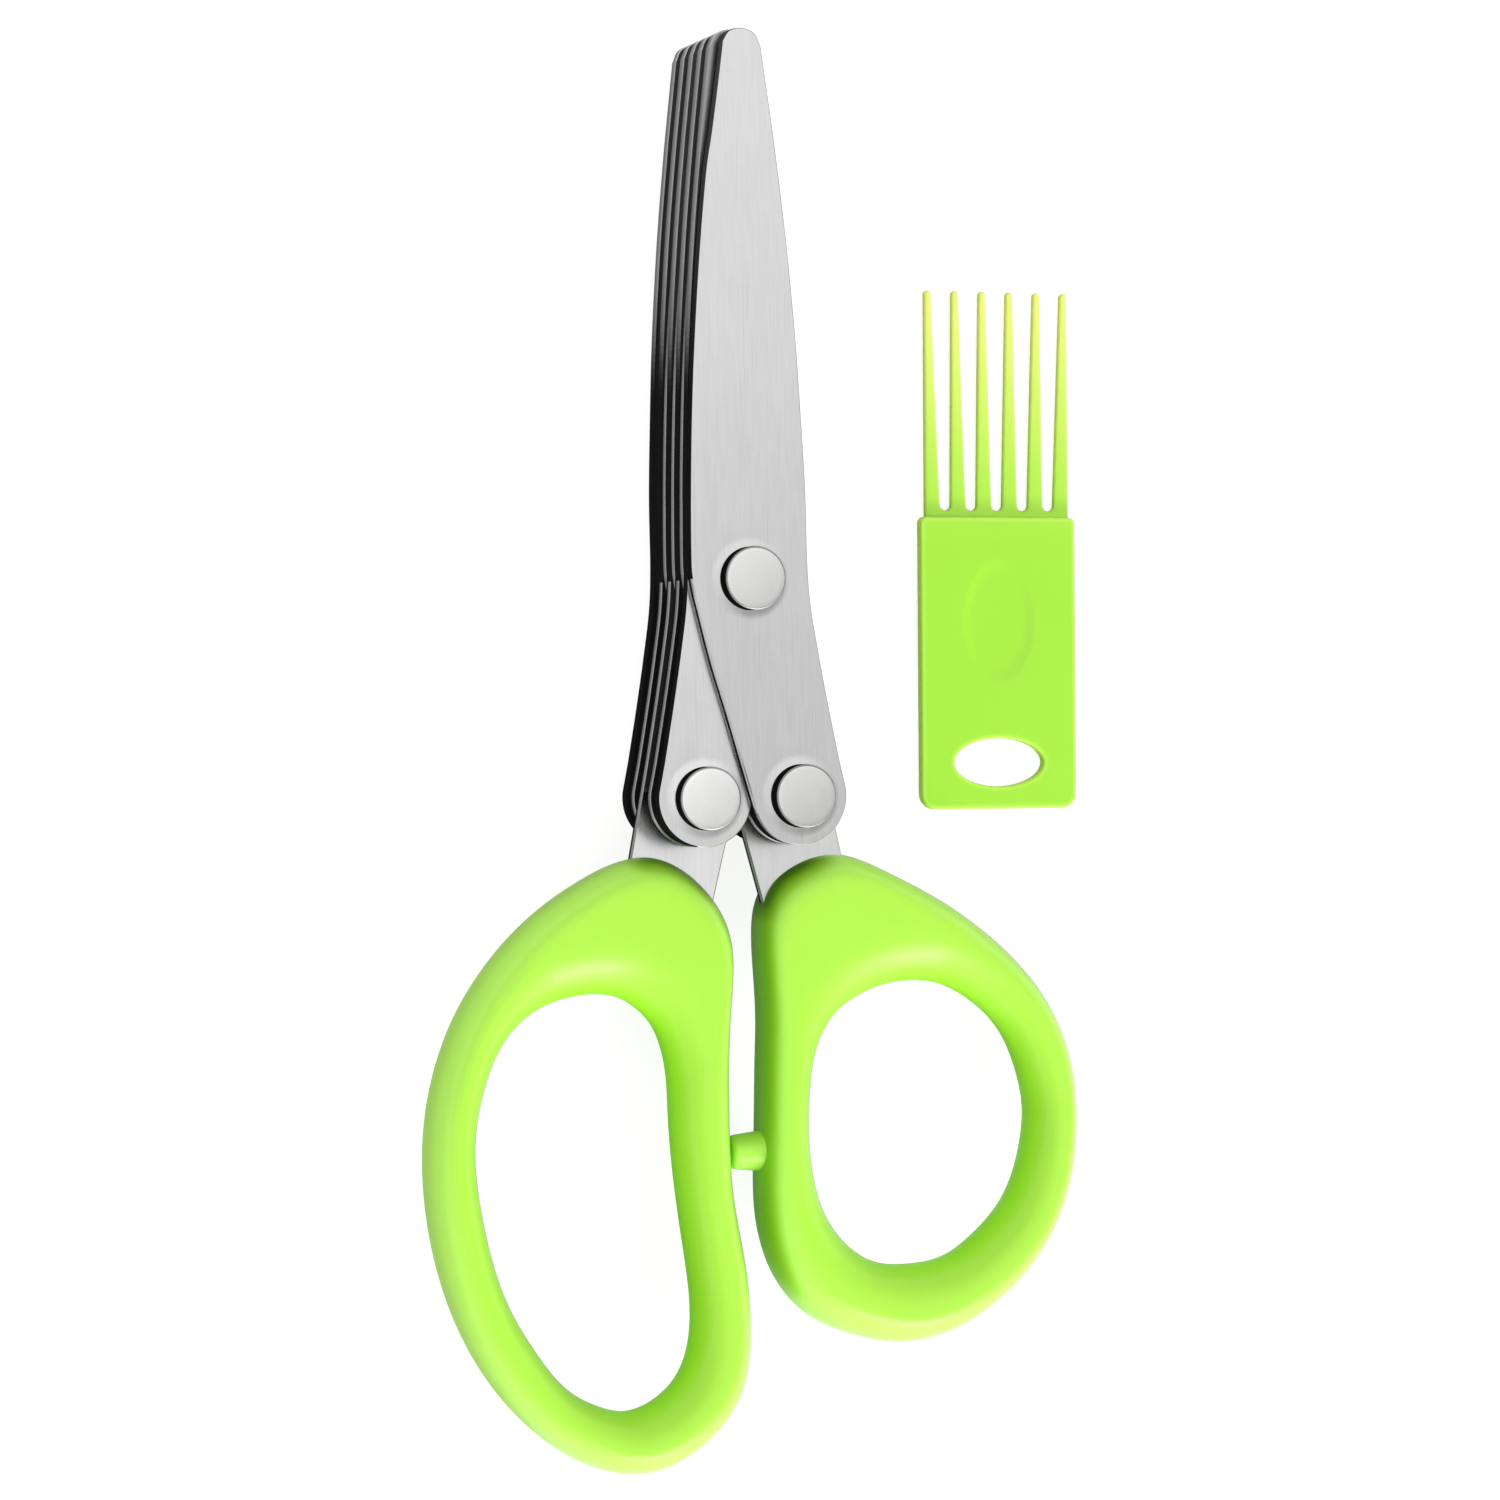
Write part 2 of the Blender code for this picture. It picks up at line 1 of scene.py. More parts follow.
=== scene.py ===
"""Looks of the herb scissors and their comb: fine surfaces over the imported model, finishes, light and camera.

The scissors lie flat: +Y runs along the blades to their tips and +Z goes up through the stack. Lengths are in
metres. The left set of blades is the right set's shape, mirrored and turned a little further closed.
"""

import math

import bmesh
import bpy
import numpy as np
from mathutils import Matrix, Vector
from mathutils.geometry import tessellate_polygon


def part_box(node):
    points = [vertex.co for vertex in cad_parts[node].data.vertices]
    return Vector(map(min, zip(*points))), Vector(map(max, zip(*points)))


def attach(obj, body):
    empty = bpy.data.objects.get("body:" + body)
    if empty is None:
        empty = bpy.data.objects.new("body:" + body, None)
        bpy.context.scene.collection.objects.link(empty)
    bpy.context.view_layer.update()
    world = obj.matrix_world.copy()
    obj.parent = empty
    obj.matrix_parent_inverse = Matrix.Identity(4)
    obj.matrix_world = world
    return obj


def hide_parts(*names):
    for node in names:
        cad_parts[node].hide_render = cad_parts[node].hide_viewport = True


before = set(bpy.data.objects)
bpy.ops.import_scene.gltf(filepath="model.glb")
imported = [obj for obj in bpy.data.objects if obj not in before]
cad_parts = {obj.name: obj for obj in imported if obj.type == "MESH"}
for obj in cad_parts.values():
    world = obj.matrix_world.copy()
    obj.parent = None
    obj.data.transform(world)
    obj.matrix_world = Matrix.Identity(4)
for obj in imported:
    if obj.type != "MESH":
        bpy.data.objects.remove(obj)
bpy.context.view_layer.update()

MM = 0.001

# Blades. Their outlines are shares of the half width, and of the reach or of the rivet's drop
BLADE_REACH = 72.3 * MM
BLADE_HALF_WIDTH = 8.2 * MM
RIVET_DROP = 28.7 * MM
RIVET_SPREAD = 6.4 * MM
BLADE_END_RADIUS = 6.5 * MM
CLOSING_TURN = math.radians(0.3)
BLADE_EDGE = 0.13 * MM
BLADE_SHARP_DEG = 35.0
TRIM = 0.05 * MM
EDGE_SHARES = [
    (0.99, 0.03), (0.98, 0.16), (0.93, 0.3), (0.86, 0.45), (0.74, 0.62), (0.59, 0.78), (0.48, 0.88),
]
TIP_SHARES = [(0.38, 0.967), (0.29, 0.989), (0.15, 0.998), (0.0, 1.0), (-0.17, 0.994), (-0.28, 0.976)]
SPINE_SHARES = [
    (-0.39, 0.89), (-0.5, 0.81), (-0.62, 0.73), (-0.77, 0.57), (-0.9, 0.38), (-0.97, 0.21), (-1.0, 0.05),
]
WAIST_SHARES = [(-0.975, -0.01), (-0.86, -0.16), (-0.66, -0.39), (-0.43, -0.61), (-0.21, -0.83)]
HIP_SHARES = [(1.46, -0.83), (1.29, -0.575), (1.14, -0.33), (1.03, -0.12)]
WAIST_END_DEG = 196.0
HIP_START_DEG = 13.0
TANG_REACH = 23.0 * MM
TANG_SHARES = [
    (0.58, -0.94), (0.74, -0.56), (0.94, -0.5), (1.0, -0.38),
    (1.0, 0.38), (0.94, 0.5), (0.74, 0.62), (0.52, 0.96), (0.0, 0.99),
]
TANG_HOLE_RADIUS = 1.8 * MM
TANG_HOLE_SHARE = 0.82
RIGHT_RIVET = (RIVET_SPREAD, -RIVET_DROP)
ARM_ANGLE = math.atan2(RIVET_SPREAD, RIVET_DROP)

# Rivets
HEAD_RADIUS = 4.2 * MM
HEAD_HEIGHT = 2.3 * MM
HEAD_ROUND = 0.28 * MM
HEAD_CROWN = 0.08 * MM
CROWN_SHARES = (0.85, 0.6, 0.3, 0.0)
SHANK_RADIUS = 2.2 * MM
SHANK_BORE = 2.5 * MM
CAP_FLOOR = 0.8 * MM
SWELL_WIDTH = 1.3 * MM
SWELL_SLOPE = 0.22

# Handles
OUTER_ROLL = 4.0 * MM
INNER_ROLL = 7.0 * MM
OUTER_ROLL_SHARE = 0.42
INNER_ROLL_SHARE = 0.58
ROLL_POWER = 2.0
RIGHT_RING = {"side": 2.15 * MM, "top": -36.6 * MM, "width": 45.5 * MM, "length": 66.1 * MM}
LEFT_RING = {"side": 0.45 * MM, "top": -36.3 * MM, "width": -43.9 * MM, "length": 81.4 * MM}
RIGHT_SECTION_SHARES = [
    (0.250, 0.000, 0.394, 0.273), (0.096, 0.031, 0.300, 0.300), (0.020, 0.114, 0.232, 0.339),
    (0.020, 0.271, 0.184, 0.402), (0.015, 0.415, 0.162, 0.475), (0.007, 0.566, 0.155, 0.566),
    (0.001, 0.706, 0.173, 0.668), (0.036, 0.827, 0.217, 0.746), (0.131, 0.923, 0.287, 0.803),
    (0.274, 0.976, 0.376, 0.836), (0.436, 1.000, 0.481, 0.842), (0.606, 0.979, 0.584, 0.831),
    (0.764, 0.915, 0.676, 0.794), (0.895, 0.817, 0.766, 0.735), (0.978, 0.687, 0.825, 0.660),
    (1.000, 0.551, 0.856, 0.566), (0.982, 0.427, 0.845, 0.483), (0.910, 0.310, 0.794, 0.390),
    (0.781, 0.203, 0.705, 0.321), (0.606, 0.110, 0.593, 0.276), (0.422, 0.041, 0.488, 0.265),
]
LEFT_SECTION_SHARES = [
    (0.296, 0.001, 0.412, 0.224), (0.134, 0.045, 0.320, 0.252), (0.041, 0.134, 0.263, 0.297),
    (0.046, 0.254, 0.236, 0.365), (0.055, 0.397, 0.230, 0.445), (0.050, 0.543, 0.214, 0.549),
    (0.016, 0.661, 0.191, 0.647), (0.000, 0.776, 0.175, 0.742), (0.034, 0.881, 0.199, 0.822),
    (0.150, 0.958, 0.270, 0.873), (0.321, 1.000, 0.376, 0.898), (0.515, 0.982, 0.479, 0.887),
    (0.703, 0.911, 0.591, 0.849), (0.862, 0.797, 0.698, 0.772), (0.964, 0.653, 0.789, 0.668),
    (1.000, 0.500, 0.847, 0.512), (0.970, 0.357, 0.834, 0.396), (0.870, 0.225, 0.765, 0.301),
    (0.702, 0.113, 0.656, 0.245), (0.499, 0.036, 0.533, 0.223),
]
NUB_PLACE_SHARE = 0.596
NUB_ROOT_RADIUS = 2.9 * MM
NUB_TIP_RADIUS = 2.3 * MM
NUB_ROUND = 0.8 * MM
NUB_ROOT_DEPTH = 2.0 * MM
NUB_GAP = 0.3 * MM

# Painted shade on each handle: the corner beside its tang, the distances from it at which the shade starts
# to fade and ends, its depth there, and its depth on the wall that faces the other handle
RIGHT_SHADE = {
    "corner": (5.6 * MM, -39.5 * MM), "reach": (3.0 * MM, 9.0 * MM), "depth": 1.0, "wall_depth": 0.35,
}
LEFT_SHADE = {
    "corner": (-9.0 * MM, -38.0 * MM), "reach": (4.0 * MM, 7.5 * MM), "depth": 0.8, "wall_depth": 0.2,
}
# Distances from the facing wall at which its painted shade starts to fade and ends
WALL_REACH = (2.0 * MM, 6.0 * MM)
# Painted rim light on the nub
NUB_PAINTED_LIGHT = 0.3

# Comb: its shape, how much painted rim light its roll starts with, and where along it the teeth get a painted
# yellow glow, standing in for light through them, and their roots painted shade
COMB_PLACE = (42.5 * MM, -11.47 * MM)
COMB_TURN = math.radians(-0.9)
COMB_WIDTH = 23.0 * MM
COMB_LENGTH = 40.3 * MM
COMB_CORNER = 2.2 * MM
COMB_SHOULDER = 0.9 * MM
COMB_EDGE = 0.35 * MM
COMB_MARGIN = 0.4 * MM
COMB_HOLE = (13.2 * MM, 6.6 * MM)
COMB_HOLE_DROP = 13.7 * MM
REST_SIZE = (11.2 * MM, 17.8 * MM)
REST_RISE = 5.8 * MM
REST_DEPTH = 0.28 * MM
REST_NARROWING = 0.3
TOOTH_COUNT = 6
TOOTH_LENGTH = 30.2 * MM
TOOTH_ROOT_WIDTH = 2.3 * MM
TOOTH_TIP_WIDTH = 1.1 * MM
TOOTH_ROOT_PITCH = 3.81 * MM
TOOTH_TIP_PITCH = 4.03 * MM
TOOTH_THICKNESS = 1.1 * MM
TOOTH_EDGE = 0.36 * MM
BAND_RISE = 0.9 * MM
BAND_OVERLAP = 2.0 * MM
COMB_ROLL_RIM_LIGHT = 0.4
TOOTH_GLOW = (2.0 * MM, 42.0 * MM)
ROOT_SHADE_RISE = (8.4 * MM, 9.0 * MM)
ROOT_SHADE_FALL = (9.4 * MM, 12.0 * MM)

# Brightness of the steels, which differs by side and by rivet as painted light, how much painted shade
# darkens the right blades towards the hip, where the painted sheen at the tips starts, and where the tangs
# come out of the stack, under which their faces get painted shade
BLADE_STEEL = {"right": 0.61, "left": 0.64}
RIVET_STEEL = {"right": 0.66, "left": 0.79, "pivot": 0.68}
WASHER_STEEL = 0.3
HIP_PAINTED_SHADE = 0.08
HIP_WAY = (0.75, -0.66, 0.0)
HIP_REACH = (-40.0 * MM, 24.0 * MM)
TIP_PAINTED_SHEEN_START = 20.0 * MM
TANG_COVER = (-31.0 * MM, -27.0 * MM)

# Painted light and shade on the blades' faces and walls: 1 is bare steel, and below 0.08 the steel is painted
# black as shade. Faces between blades and walls that face left get painted shade, the tangs' faces and the top
# blade's waist painted light. The ground margin is on the cutting side of the top left blade and is painted
# darker, as its reflection, and the walls' tones change between the tip's start and end: towards the tips the
# left set's cutting walls get painted light, the right set's walls painted shade. A wall faces left where its
# normal's share towards the left is over LEFT_FACING
TANG_FACE_TONE = {"right": 1.22, "left": 1.2}
DARK_TONE = 0.02
EDGE_TONE = 0.5
GROUND_REFLECTION_TONE = 0.4
GROUND_WIDTH = 1.1 * MM
WALL_TONES = {
    "right_blade_1": DARK_TONE, "right_blade_2": 0.5, "right_tang_blade": 0.6, "right_blade_4": 0.5,
    "right_blade_5": DARK_TONE, "left_blade_1": DARK_TONE, "left_blade_2": 0.35, "left_tang_blade": 0.55,
    "left_blade_4": 0.4, "left_blade_5": DARK_TONE,
}
TIP_WALL_TONE = 0.5
TIP_FOOT_TONE = 0.3
WAIST_WALL_TONE = 1.0
OPEN_WALL_TONE = 0.7
LEFT_FACING = 0.2
TIP_START = 24.0 * MM
TIP_END = 44.0 * MM

# Kinds of faces on a plate
UPPER_FACE, LOWER_FACE, ROLL, UPPER_WALL, MARGIN, LOWER_WALL = range(6)

# Colours of the mouldings: the handles' plain lime, then painted bounce light on their inner walls, painted
# rim light and painted shade; the comb's plain lime and its painted rim light; and the painted glow of light
# through the teeth with its painted rim light
LIME = (0.415, 0.84, 0.045)
BOUNCE_LIT_LIME = (0.41, 0.96, 0.02)
RIM_LIT_LIME = (0.5, 0.97, 0.1)
DARK_LIME = (0.06, 0.19, 0.0)
COMB_LIME = (0.37, 0.8, 0.045)
COMB_RIM_LIT_LIME = (0.62, 0.97, 0.12)
TOOTH_GLOW_LIME = (0.8, 0.95, 0.17)
TOOTH_RIM_LIT_LIME = (0.95, 0.97, 0.3)

# Studio: the key lamp and the side that it stands on, the brightness of the ceiling and the walls, and the
# floor, which shows its glow to shiny surfaces fully only on the lamp's side
LAMP_SIDE = (0.55, -0.83, 0.0)
LAMP_PLACE = (0.4, -0.94, 0.725)
LAMP_AIM = (0.0, -0.02, 0.0)
LAMP_SIZE = 0.52
LAMP_POWER = 9.3
SKY_LEVEL = 0.38
CEILING_LEVEL = 0.9
WALL_LEVEL = 2.3
WALL_GAIN = 0.7
FLOOR_REACH = 6.0
FLOOR_LEVEL = -0.3 * MM
FLOOR_TONE = 0.32
FLOOR_GLOW = 0.84
FLOOR_SHINE = 0.3
SHINE_REACH = (72.0 * MM, 92.0 * MM)

# Fineness of the surfaces
CURVE_STEPS = 12
CORNER_STEPS = 16
TOOTH_STEPS = 12
DISH_STEPS = 8
RIM_STEPS = 6
NUB_STEPS = 48
BLADE_EDGE_STEPS = 1
COMB_EDGE_STEPS = 5
TOOTH_EDGE_STEPS = 4
ARC_STEPS = 48
ROUND_STEPS = 96
RING_STEPS = 360
ROLL_STEPS = 12
FLAT_STEPS = 4

# Camera: it looks at the target from this distance, turned to the left of straight down. The photograph's
# width is in pixels and its scale in pixels per millimetre
CAMERA_DISTANCE = 620 * MM
CAMERA_YAW = math.radians(19.0)
CAMERA_ROLL = math.radians(1.3)
CAMERA_TARGET = (0.0, -22.5 * MM, 20.3 * MM)
SENSOR = 36.0
PHOTO_WIDTH = 1500
PHOTO_SCALE = 7.62


class Value:
    """A shader socket in an expression: each operator adds its Math node."""

    def __init__(self, finish, socket):
        self.finish = finish
        self.socket = socket

    def __add__(self, other):
        return self.finish.math("ADD", self, other)

    def __sub__(self, other):
        return self.finish.math("SUBTRACT", self, other)

    def __rsub__(self, other):
        return self.finish.math("SUBTRACT", other, self)

    def __mul__(self, other):
        return self.finish.math("MULTIPLY", self, other)

    __radd__ = __add__
    __rmul__ = __mul__


class Finish:
    """A node tree and the one method that adds nodes to it."""

    def __init__(self, tree):
        self.tree = tree

    def node(self, kind, settings=None, inputs=None, output=0):
        """Add a node: its settings first, then the values or links of its sockets."""
        made = self.tree.nodes.new(kind)
        for name, value in (settings or {}).items():
            setattr(made, name, value)
        for name, value in (inputs or {}).items():
            if isinstance(value, Value):
                self.tree.links.new(value.socket, made.inputs[name])
            else:
                made.inputs[name].default_value = value
        return Value(self, made.outputs[output])

    def math(self, operation, first, second=0.0):
        """Sum, product or the like of two numbers."""
        return self.node("ShaderNodeMath", {"operation": operation}, {0: first, 1: second})

    def mix(self, share, low, high):
        """Colour between two colours."""
        low, high = (colour if isinstance(colour, Value) else (*colour, 1.0) for colour in (low, high))
        return self.node("ShaderNodeMix", {"data_type": "RGBA"}, {0: share, 6: low, 7: high}, output=2)

    def tint(self, colour, factor):
        """Colour times a number."""
        return self.node("ShaderNodeVectorMath", {"operation": "SCALE"}, {0: colour, 3: factor})

    def axis(self, place, number):
        """One coordinate of a place: 0 for X, 1 for Y and 2 for Z."""
        return self.node("ShaderNodeSeparateXYZ", None, {0: place}, output=number)

    def length(self, place):
        """Distance of a place from the origin."""
        return self.node("ShaderNodeVectorMath", {"operation": "LENGTH"}, {0: place}, output=1)

    def towards(self, place, direction):
        """How far a place lies in a direction."""
        return self.node(
            "ShaderNodeVectorMath", {"operation": "DOT_PRODUCT"}, {0: place, 1: direction}, output=1,
        )

    def place(self, scale=(1, 1, 1), offset=(0, 0, 0), turn=0.0):
        """Object coordinates, moved, turned about Z and scaled."""
        coordinates = self.node("ShaderNodeTexCoord", output=3)
        return self.node(
            "ShaderNodeMapping", {"vector_type": "POINT"},
            {"Vector": coordinates, "Location": offset, "Rotation": (0, 0, turn), "Scale": scale},
        )

    def noise(self, scale, detail=2.0, roughness=0.5, offset=(0, 0, 0), turn=0.0):
        """Noise whose grains per metre along X, Y and Z are given."""
        place = self.place(scale, offset, turn)
        return self.node(
            "ShaderNodeTexNoise", None,
            {"Vector": place, "Scale": 1.0, "Detail": detail, "Roughness": roughness},
        )

    def steps(self, value, low, high):
        """Smooth rise from 0 to 1 between two values."""
        return self.node(
            "ShaderNodeMapRange", {"interpolation_type": "SMOOTHSTEP"},
            {"Value": value, "From Min": low, "From Max": high},
        )

    def attribute(self, name):
        """Number stored on the mesh's points or faces."""
        return self.node("ShaderNodeAttribute", {"attribute_name": name}, output=2)

    def bump(self, height, strength, distance):
        """Normal that a height gives: the height times the distance, in metres."""
        return self.node(
            "ShaderNodeBump", None, {"Height": height, "Strength": strength, "Distance": distance},
        )

    def set(self, **sockets):
        """Give the Principled shader its values and links."""
        shader = self.tree.nodes["Principled BSDF"]
        for name, value in sockets.items():
            socket = shader.inputs[name.replace("_", " ")]
            if isinstance(value, Value):
                self.tree.links.new(value.socket, socket)
            else:
                socket.default_value = value


def new_material(name):
    """Material and the finish that fills its node tree."""
    material = bpy.data.materials.new(name)
    material.use_nodes = True
    return material, Finish(material.node_tree)


def blade_steel(name, turn, base, hip_shade, rivets):
    """Steel brushed along the blade, and swelling a little towards the rivets' heads. The attribute tone paints
    light and shade: 1 on open faces, near 0 on the faces between blades, which are painted black as shade, and
    above 1 on the tangs' faces as painted light, which stays only where they leave the stack; under the stack
    they get painted shade. Towards the tips the steel gets a painted sheen, and the right blades get painted
    shade towards the hip."""
    material, finish = new_material(name)
    fine = finish.noise((3600, 170, 900), 3.0, 0.62, turn=turn)
    broad = finish.noise((640, 150, 200), 2.0, 0.55, turn=turn)
    cloud = finish.noise((110, 50, 60), 2.0, 0.5)
    scratch = finish.steps(finish.noise((5200, 60, 900), 1.0, 0.4, (0.31, 0.17, 0), turn), 0.66, 0.78)
    along = finish.axis(finish.place(), 1)
    near_tip = finish.steps(along, TIP_PAINTED_SHEEN_START, BLADE_REACH)
    # painted shade: the right blades get darker towards the hip
    near_hip = finish.steps(finish.towards(finish.place(), HIP_WAY), *HIP_REACH)
    dull = 1.0 - hip_shade * near_hip
    mark = finish.attribute("tone")
    # painted shade on the tangs' faces where the stack covers them
    covered = finish.steps(along, *TANG_COVER) * finish.steps(mark, 1.02, 1.08)
    face = mark * (1.0 - 0.96 * covered)
    # painted sheen: the steel gets lighter towards the tips
    tone = face + 0.09 * near_tip * (1.0 - face)
    streaks = 0.83 + 0.18 * fine + 0.12 * broad + 0.08 * cloud - 0.08 * scratch
    swell = 0.0
    for rivet in rivets:
        away = finish.length(finish.place((1, 1, 0), (-rivet[0], -rivet[1], 0)))
        inside = finish.math("MAXIMUM", HEAD_RADIUS + SWELL_WIDTH - away, 0.0)
        swell = swell + inside * inside
    height = 0.001 * MM * (fine + 0.5 * broad) + SWELL_SLOPE / (2 * SWELL_WIDTH) * swell
    finish.set(
        Base_Color=finish.tint((base, base, base), streaks * tone * dull),
        Metallic=finish.steps(face, 0.08, 0.2),
        Roughness=0.17 + 0.1 * fine + 0.06 * broad,
        Specular_IOR_Level=0.0,
        Normal=finish.bump(height, 1.0, 1.0),
    )
    return material


def rivet_steel(name, centre, base):
    """Satin steel with faint rings round the rivet's own axis. The rim of the head gets painted shade, and its
    side on the left is painted black as shade."""
    material, finish = new_material(name)
    place = finish.place((1, 1, 0), (-centre[0], -centre[1], 0))
    radius = finish.length(place)
    rings = finish.node(
        "ShaderNodeTexNoise", {"noise_dimensions": "1D"},
        {"W": radius * 9000.0, "Scale": 1.0, "Detail": 2.0, "Roughness": 0.6},
    )
    cloud = finish.noise((420, 420, 200), 3.0, 0.55)
    grain = finish.noise((2600, 2600, 1200), 2.0, 0.5)
    # painted shade: the head's left side is painted black
    left = 1.0 - finish.steps(finish.axis(place, 0), -0.25 * HEAD_RADIUS, 0.45 * HEAD_RADIUS)
    side = left * finish.steps(radius, HEAD_RADIUS - 0.4 * HEAD_ROUND, HEAD_RADIUS - 0.05 * HEAD_ROUND)
    rim = finish.steps(radius, HEAD_RADIUS - 1.1 * HEAD_ROUND, HEAD_RADIUS - 0.9 * HEAD_ROUND)
    tone = (0.88 + 0.06 * rings + 0.12 * cloud + 0.05 * grain) * (1.0 - 0.5 * rim) * (1.0 - 0.98 * side)
    finish.set(
        Base_Color=finish.tint((base, base, 0.99 * base), tone),
        Metallic=1.0 - side,
        Roughness=0.21 + 0.03 * grain + 0.07 * cloud + 0.2 * rim,
        Specular_IOR_Level=0.0,
        Normal=finish.bump(rings + 0.3 * grain, 0.04, 0.02 * MM),
    )
    return material


def spacer_steel(name):
    """Plain dull washer steel."""
    material, finish = new_material(name)
    grain = finish.noise((1500, 1500, 1500), 3.0, 0.6)
    finish.set(
        Base_Color=finish.tint((WASHER_STEEL,) * 3, 0.8 + 0.4 * grain),
        Metallic=1.0,
        Roughness=0.42 + 0.12 * grain,
        Normal=finish.bump(grain, 0.15, 0.02 * MM),
    )
    return material


def handle_plastic(name, middle):
    """Satin lime moulding: a fine spark-eroded grain, soft mottling and the mould's parting line at mid
    height. Its attributes come from wall_marks: painted bounce light on the inner walls, painted rim light
    (pale), painted shade (tone) and the gloss, which is lower in that shade and on the inner walls."""
    material, finish = new_material(name)
    grain = finish.noise((5200, 5200, 5200), 2.0, 0.55)
    mottle = finish.noise((120, 120, 120), 2.0, 0.5)
    height = finish.axis(finish.place(offset=(0, 0, -middle)), 2)
    parting = 1.0 - finish.steps(finish.math("ABSOLUTE", height), 0.03 * MM, 0.09 * MM)
    tone = 0.965 + 0.03 * grain + 0.04 * mottle - 0.06 * parting
    # painted bounce light, painted rim light and painted shade mixed into the colour
    lime = finish.mix(finish.attribute("bounce_light"), LIME, BOUNCE_LIT_LIME)
    lime = finish.mix(finish.attribute("pale"), lime, RIM_LIT_LIME)
    colour = finish.mix(finish.attribute("tone"), DARK_LIME, lime)
    finish.set(
        Base_Color=finish.tint(colour, tone),
        Roughness=0.3 + 0.08 * grain + 0.05 * mottle,
        Specular_IOR_Level=0.1,
        Coat_Weight=finish.attribute("gloss"),
        Coat_Roughness=0.42,
        Normal=finish.bump(0.4 * grain + parting, 0.2, 0.03 * MM),
    )
    return material


def comb_plastic(name):
    """Satin lime moulding with a painted yellow glow along the thin teeth, standing in for light through them,
    painted rim light at its edges and painted shade at the teeth's roots.
    """
    material, finish = new_material(name)
    grain = finish.noise((4200, 4200, 4200), 2.0, 0.55)
    mottle = finish.noise((90, 90, 90), 2.0, 0.5)
    along = finish.axis(finish.place(), 1)
    # painted glow of light through the thin teeth, and painted shade at their roots
    thin = finish.steps(along, *TOOTH_GLOW)
    root = finish.steps(along, *ROOT_SHADE_RISE) * (1.0 - finish.steps(along, *ROOT_SHADE_FALL))
    inside = finish.mix(thin, COMB_LIME, TOOTH_GLOW_LIME)
    edge = finish.mix(thin, COMB_RIM_LIT_LIME, TOOTH_RIM_LIT_LIME)
    # painted rim light at the edges
    colour = finish.mix(finish.attribute("edge"), inside, edge)
    finish.set(
        Base_Color=finish.tint(colour, 0.985 + 0.03 * grain + 0.04 * mottle - 0.2 * root),
        Roughness=0.3 + 0.08 * grain,
        Specular_IOR_Level=0.35,
        Normal=finish.bump(0.4 * grain, 0.15, 0.03 * MM),
    )
    return material


def smooth(value, low, high):
    """Smooth rise from 0 to 1 between two values: 3 p^2 - 2 p^3 for the share p of the way."""
    share = np.clip((value - low) / (high - low), 0, 1)
    return 3 * share**2 - 2 * share**3


def smooth_line(points, steps=CURVE_STEPS):
    """Open line through the points. Each span is a Hermite curve: start (1 - r) + end r
    + leave (p - 2 p^2 + p^3) + arrive (p^3 - p^2), with r = 3 p^2 - 2 p^3, and neighbouring spans share the
    slope at their point."""
    points = np.asarray(points, float)
    slopes = np.gradient(points, axis=0)
    part = (np.arange(steps) / steps)[None, :, None]
    rise = 3 * part**2 - 2 * part**3
    start, end = points[:-1, None], points[1:, None]
    leave, arrive = slopes[:-1, None], slopes[1:, None]
    line = start * (1 - rise) + end * rise
    line = line + leave * (part - 2 * part**2 + part**3) + arrive * (part**3 - part**2)
    return np.concatenate([line.reshape(-1, 2), points[-1:]])


def closed_curve(points, count):
    """Closed curve through the points: a uniform cubic B-spline whose control points c solve
    (c[i-1] + 4 c[i] + c[i+1]) / 6 = point i."""
    points = np.asarray(points, float)
    total = len(points)
    unit = np.eye(total)
    control = np.linalg.solve((4 * unit + np.roll(unit, 1, 0) + np.roll(unit, -1, 0)) / 6, points)
    place = np.arange(count) * total / count
    first = place.astype(int)
    part = (place - first)[:, None]
    weights = [
        (1 - part) ** 3, 3 * part**3 - 6 * part**2 + 4, 3 * part + 3 * part**2 - 3 * part**3 + 1, part**3,
    ]
    return sum(weight / 6 * control[(first + step - 1) % total] for step, weight in enumerate(weights))


def circle(centre, radii, steps=ROUND_STEPS):
    """Points centre + (a cos t, b sin t), counter-clockwise."""
    turn = np.arange(steps) * math.tau / steps
    return np.asarray(centre) + np.stack([radii[0] * np.cos(turn), radii[1] * np.sin(turn)], 1)


def arc(centre, radius, start, end, steps=ARC_STEPS):
    """Points centre + radius (cos t, sin t) for t between two angles in degrees, ends included."""
    turn = np.radians(np.linspace(start, end, steps + 1))
    return np.asarray(centre) + radius * np.stack([np.cos(turn), np.sin(turn)], 1)


def to_left(points):
    """Mirror right-set points in X and turn them a little further closed."""
    x, y = np.asarray(points, float).T
    cos, sin = math.cos(CLOSING_TURN), math.sin(CLOSING_TURN)
    return np.stack([-x * cos - y * sin, -x * sin + y * cos], 1)


def inset(loop, distance):
    """Closed loop moved to its left: each point goes along the mean normal m of its two spans, by
    distance / (m . n), so that both spans move by the distance."""
    ahead = np.roll(loop, -1, 0) - loop
    ahead = ahead / np.linalg.norm(ahead, axis=1)[:, None]
    normal = np.stack([-ahead[:, 1], ahead[:, 0]], 1)
    mean = normal + np.roll(normal, 1, 0)
    mean = mean / np.linalg.norm(mean, axis=1)[:, None]
    share = np.maximum((mean * normal).sum(1), 0.4)[:, None]
    return loop + distance * mean / share


def reverse(loop):
    """Loop in the other direction."""
    return loop[::-1]


def strip_faces(count, start, next_start):
    """Quads between two closed rows of count points that begin at two indices."""
    here = np.arange(count)
    after = (here + 1) % count
    return np.stack([start + here, start + after, next_start + after, next_start + here], 1)


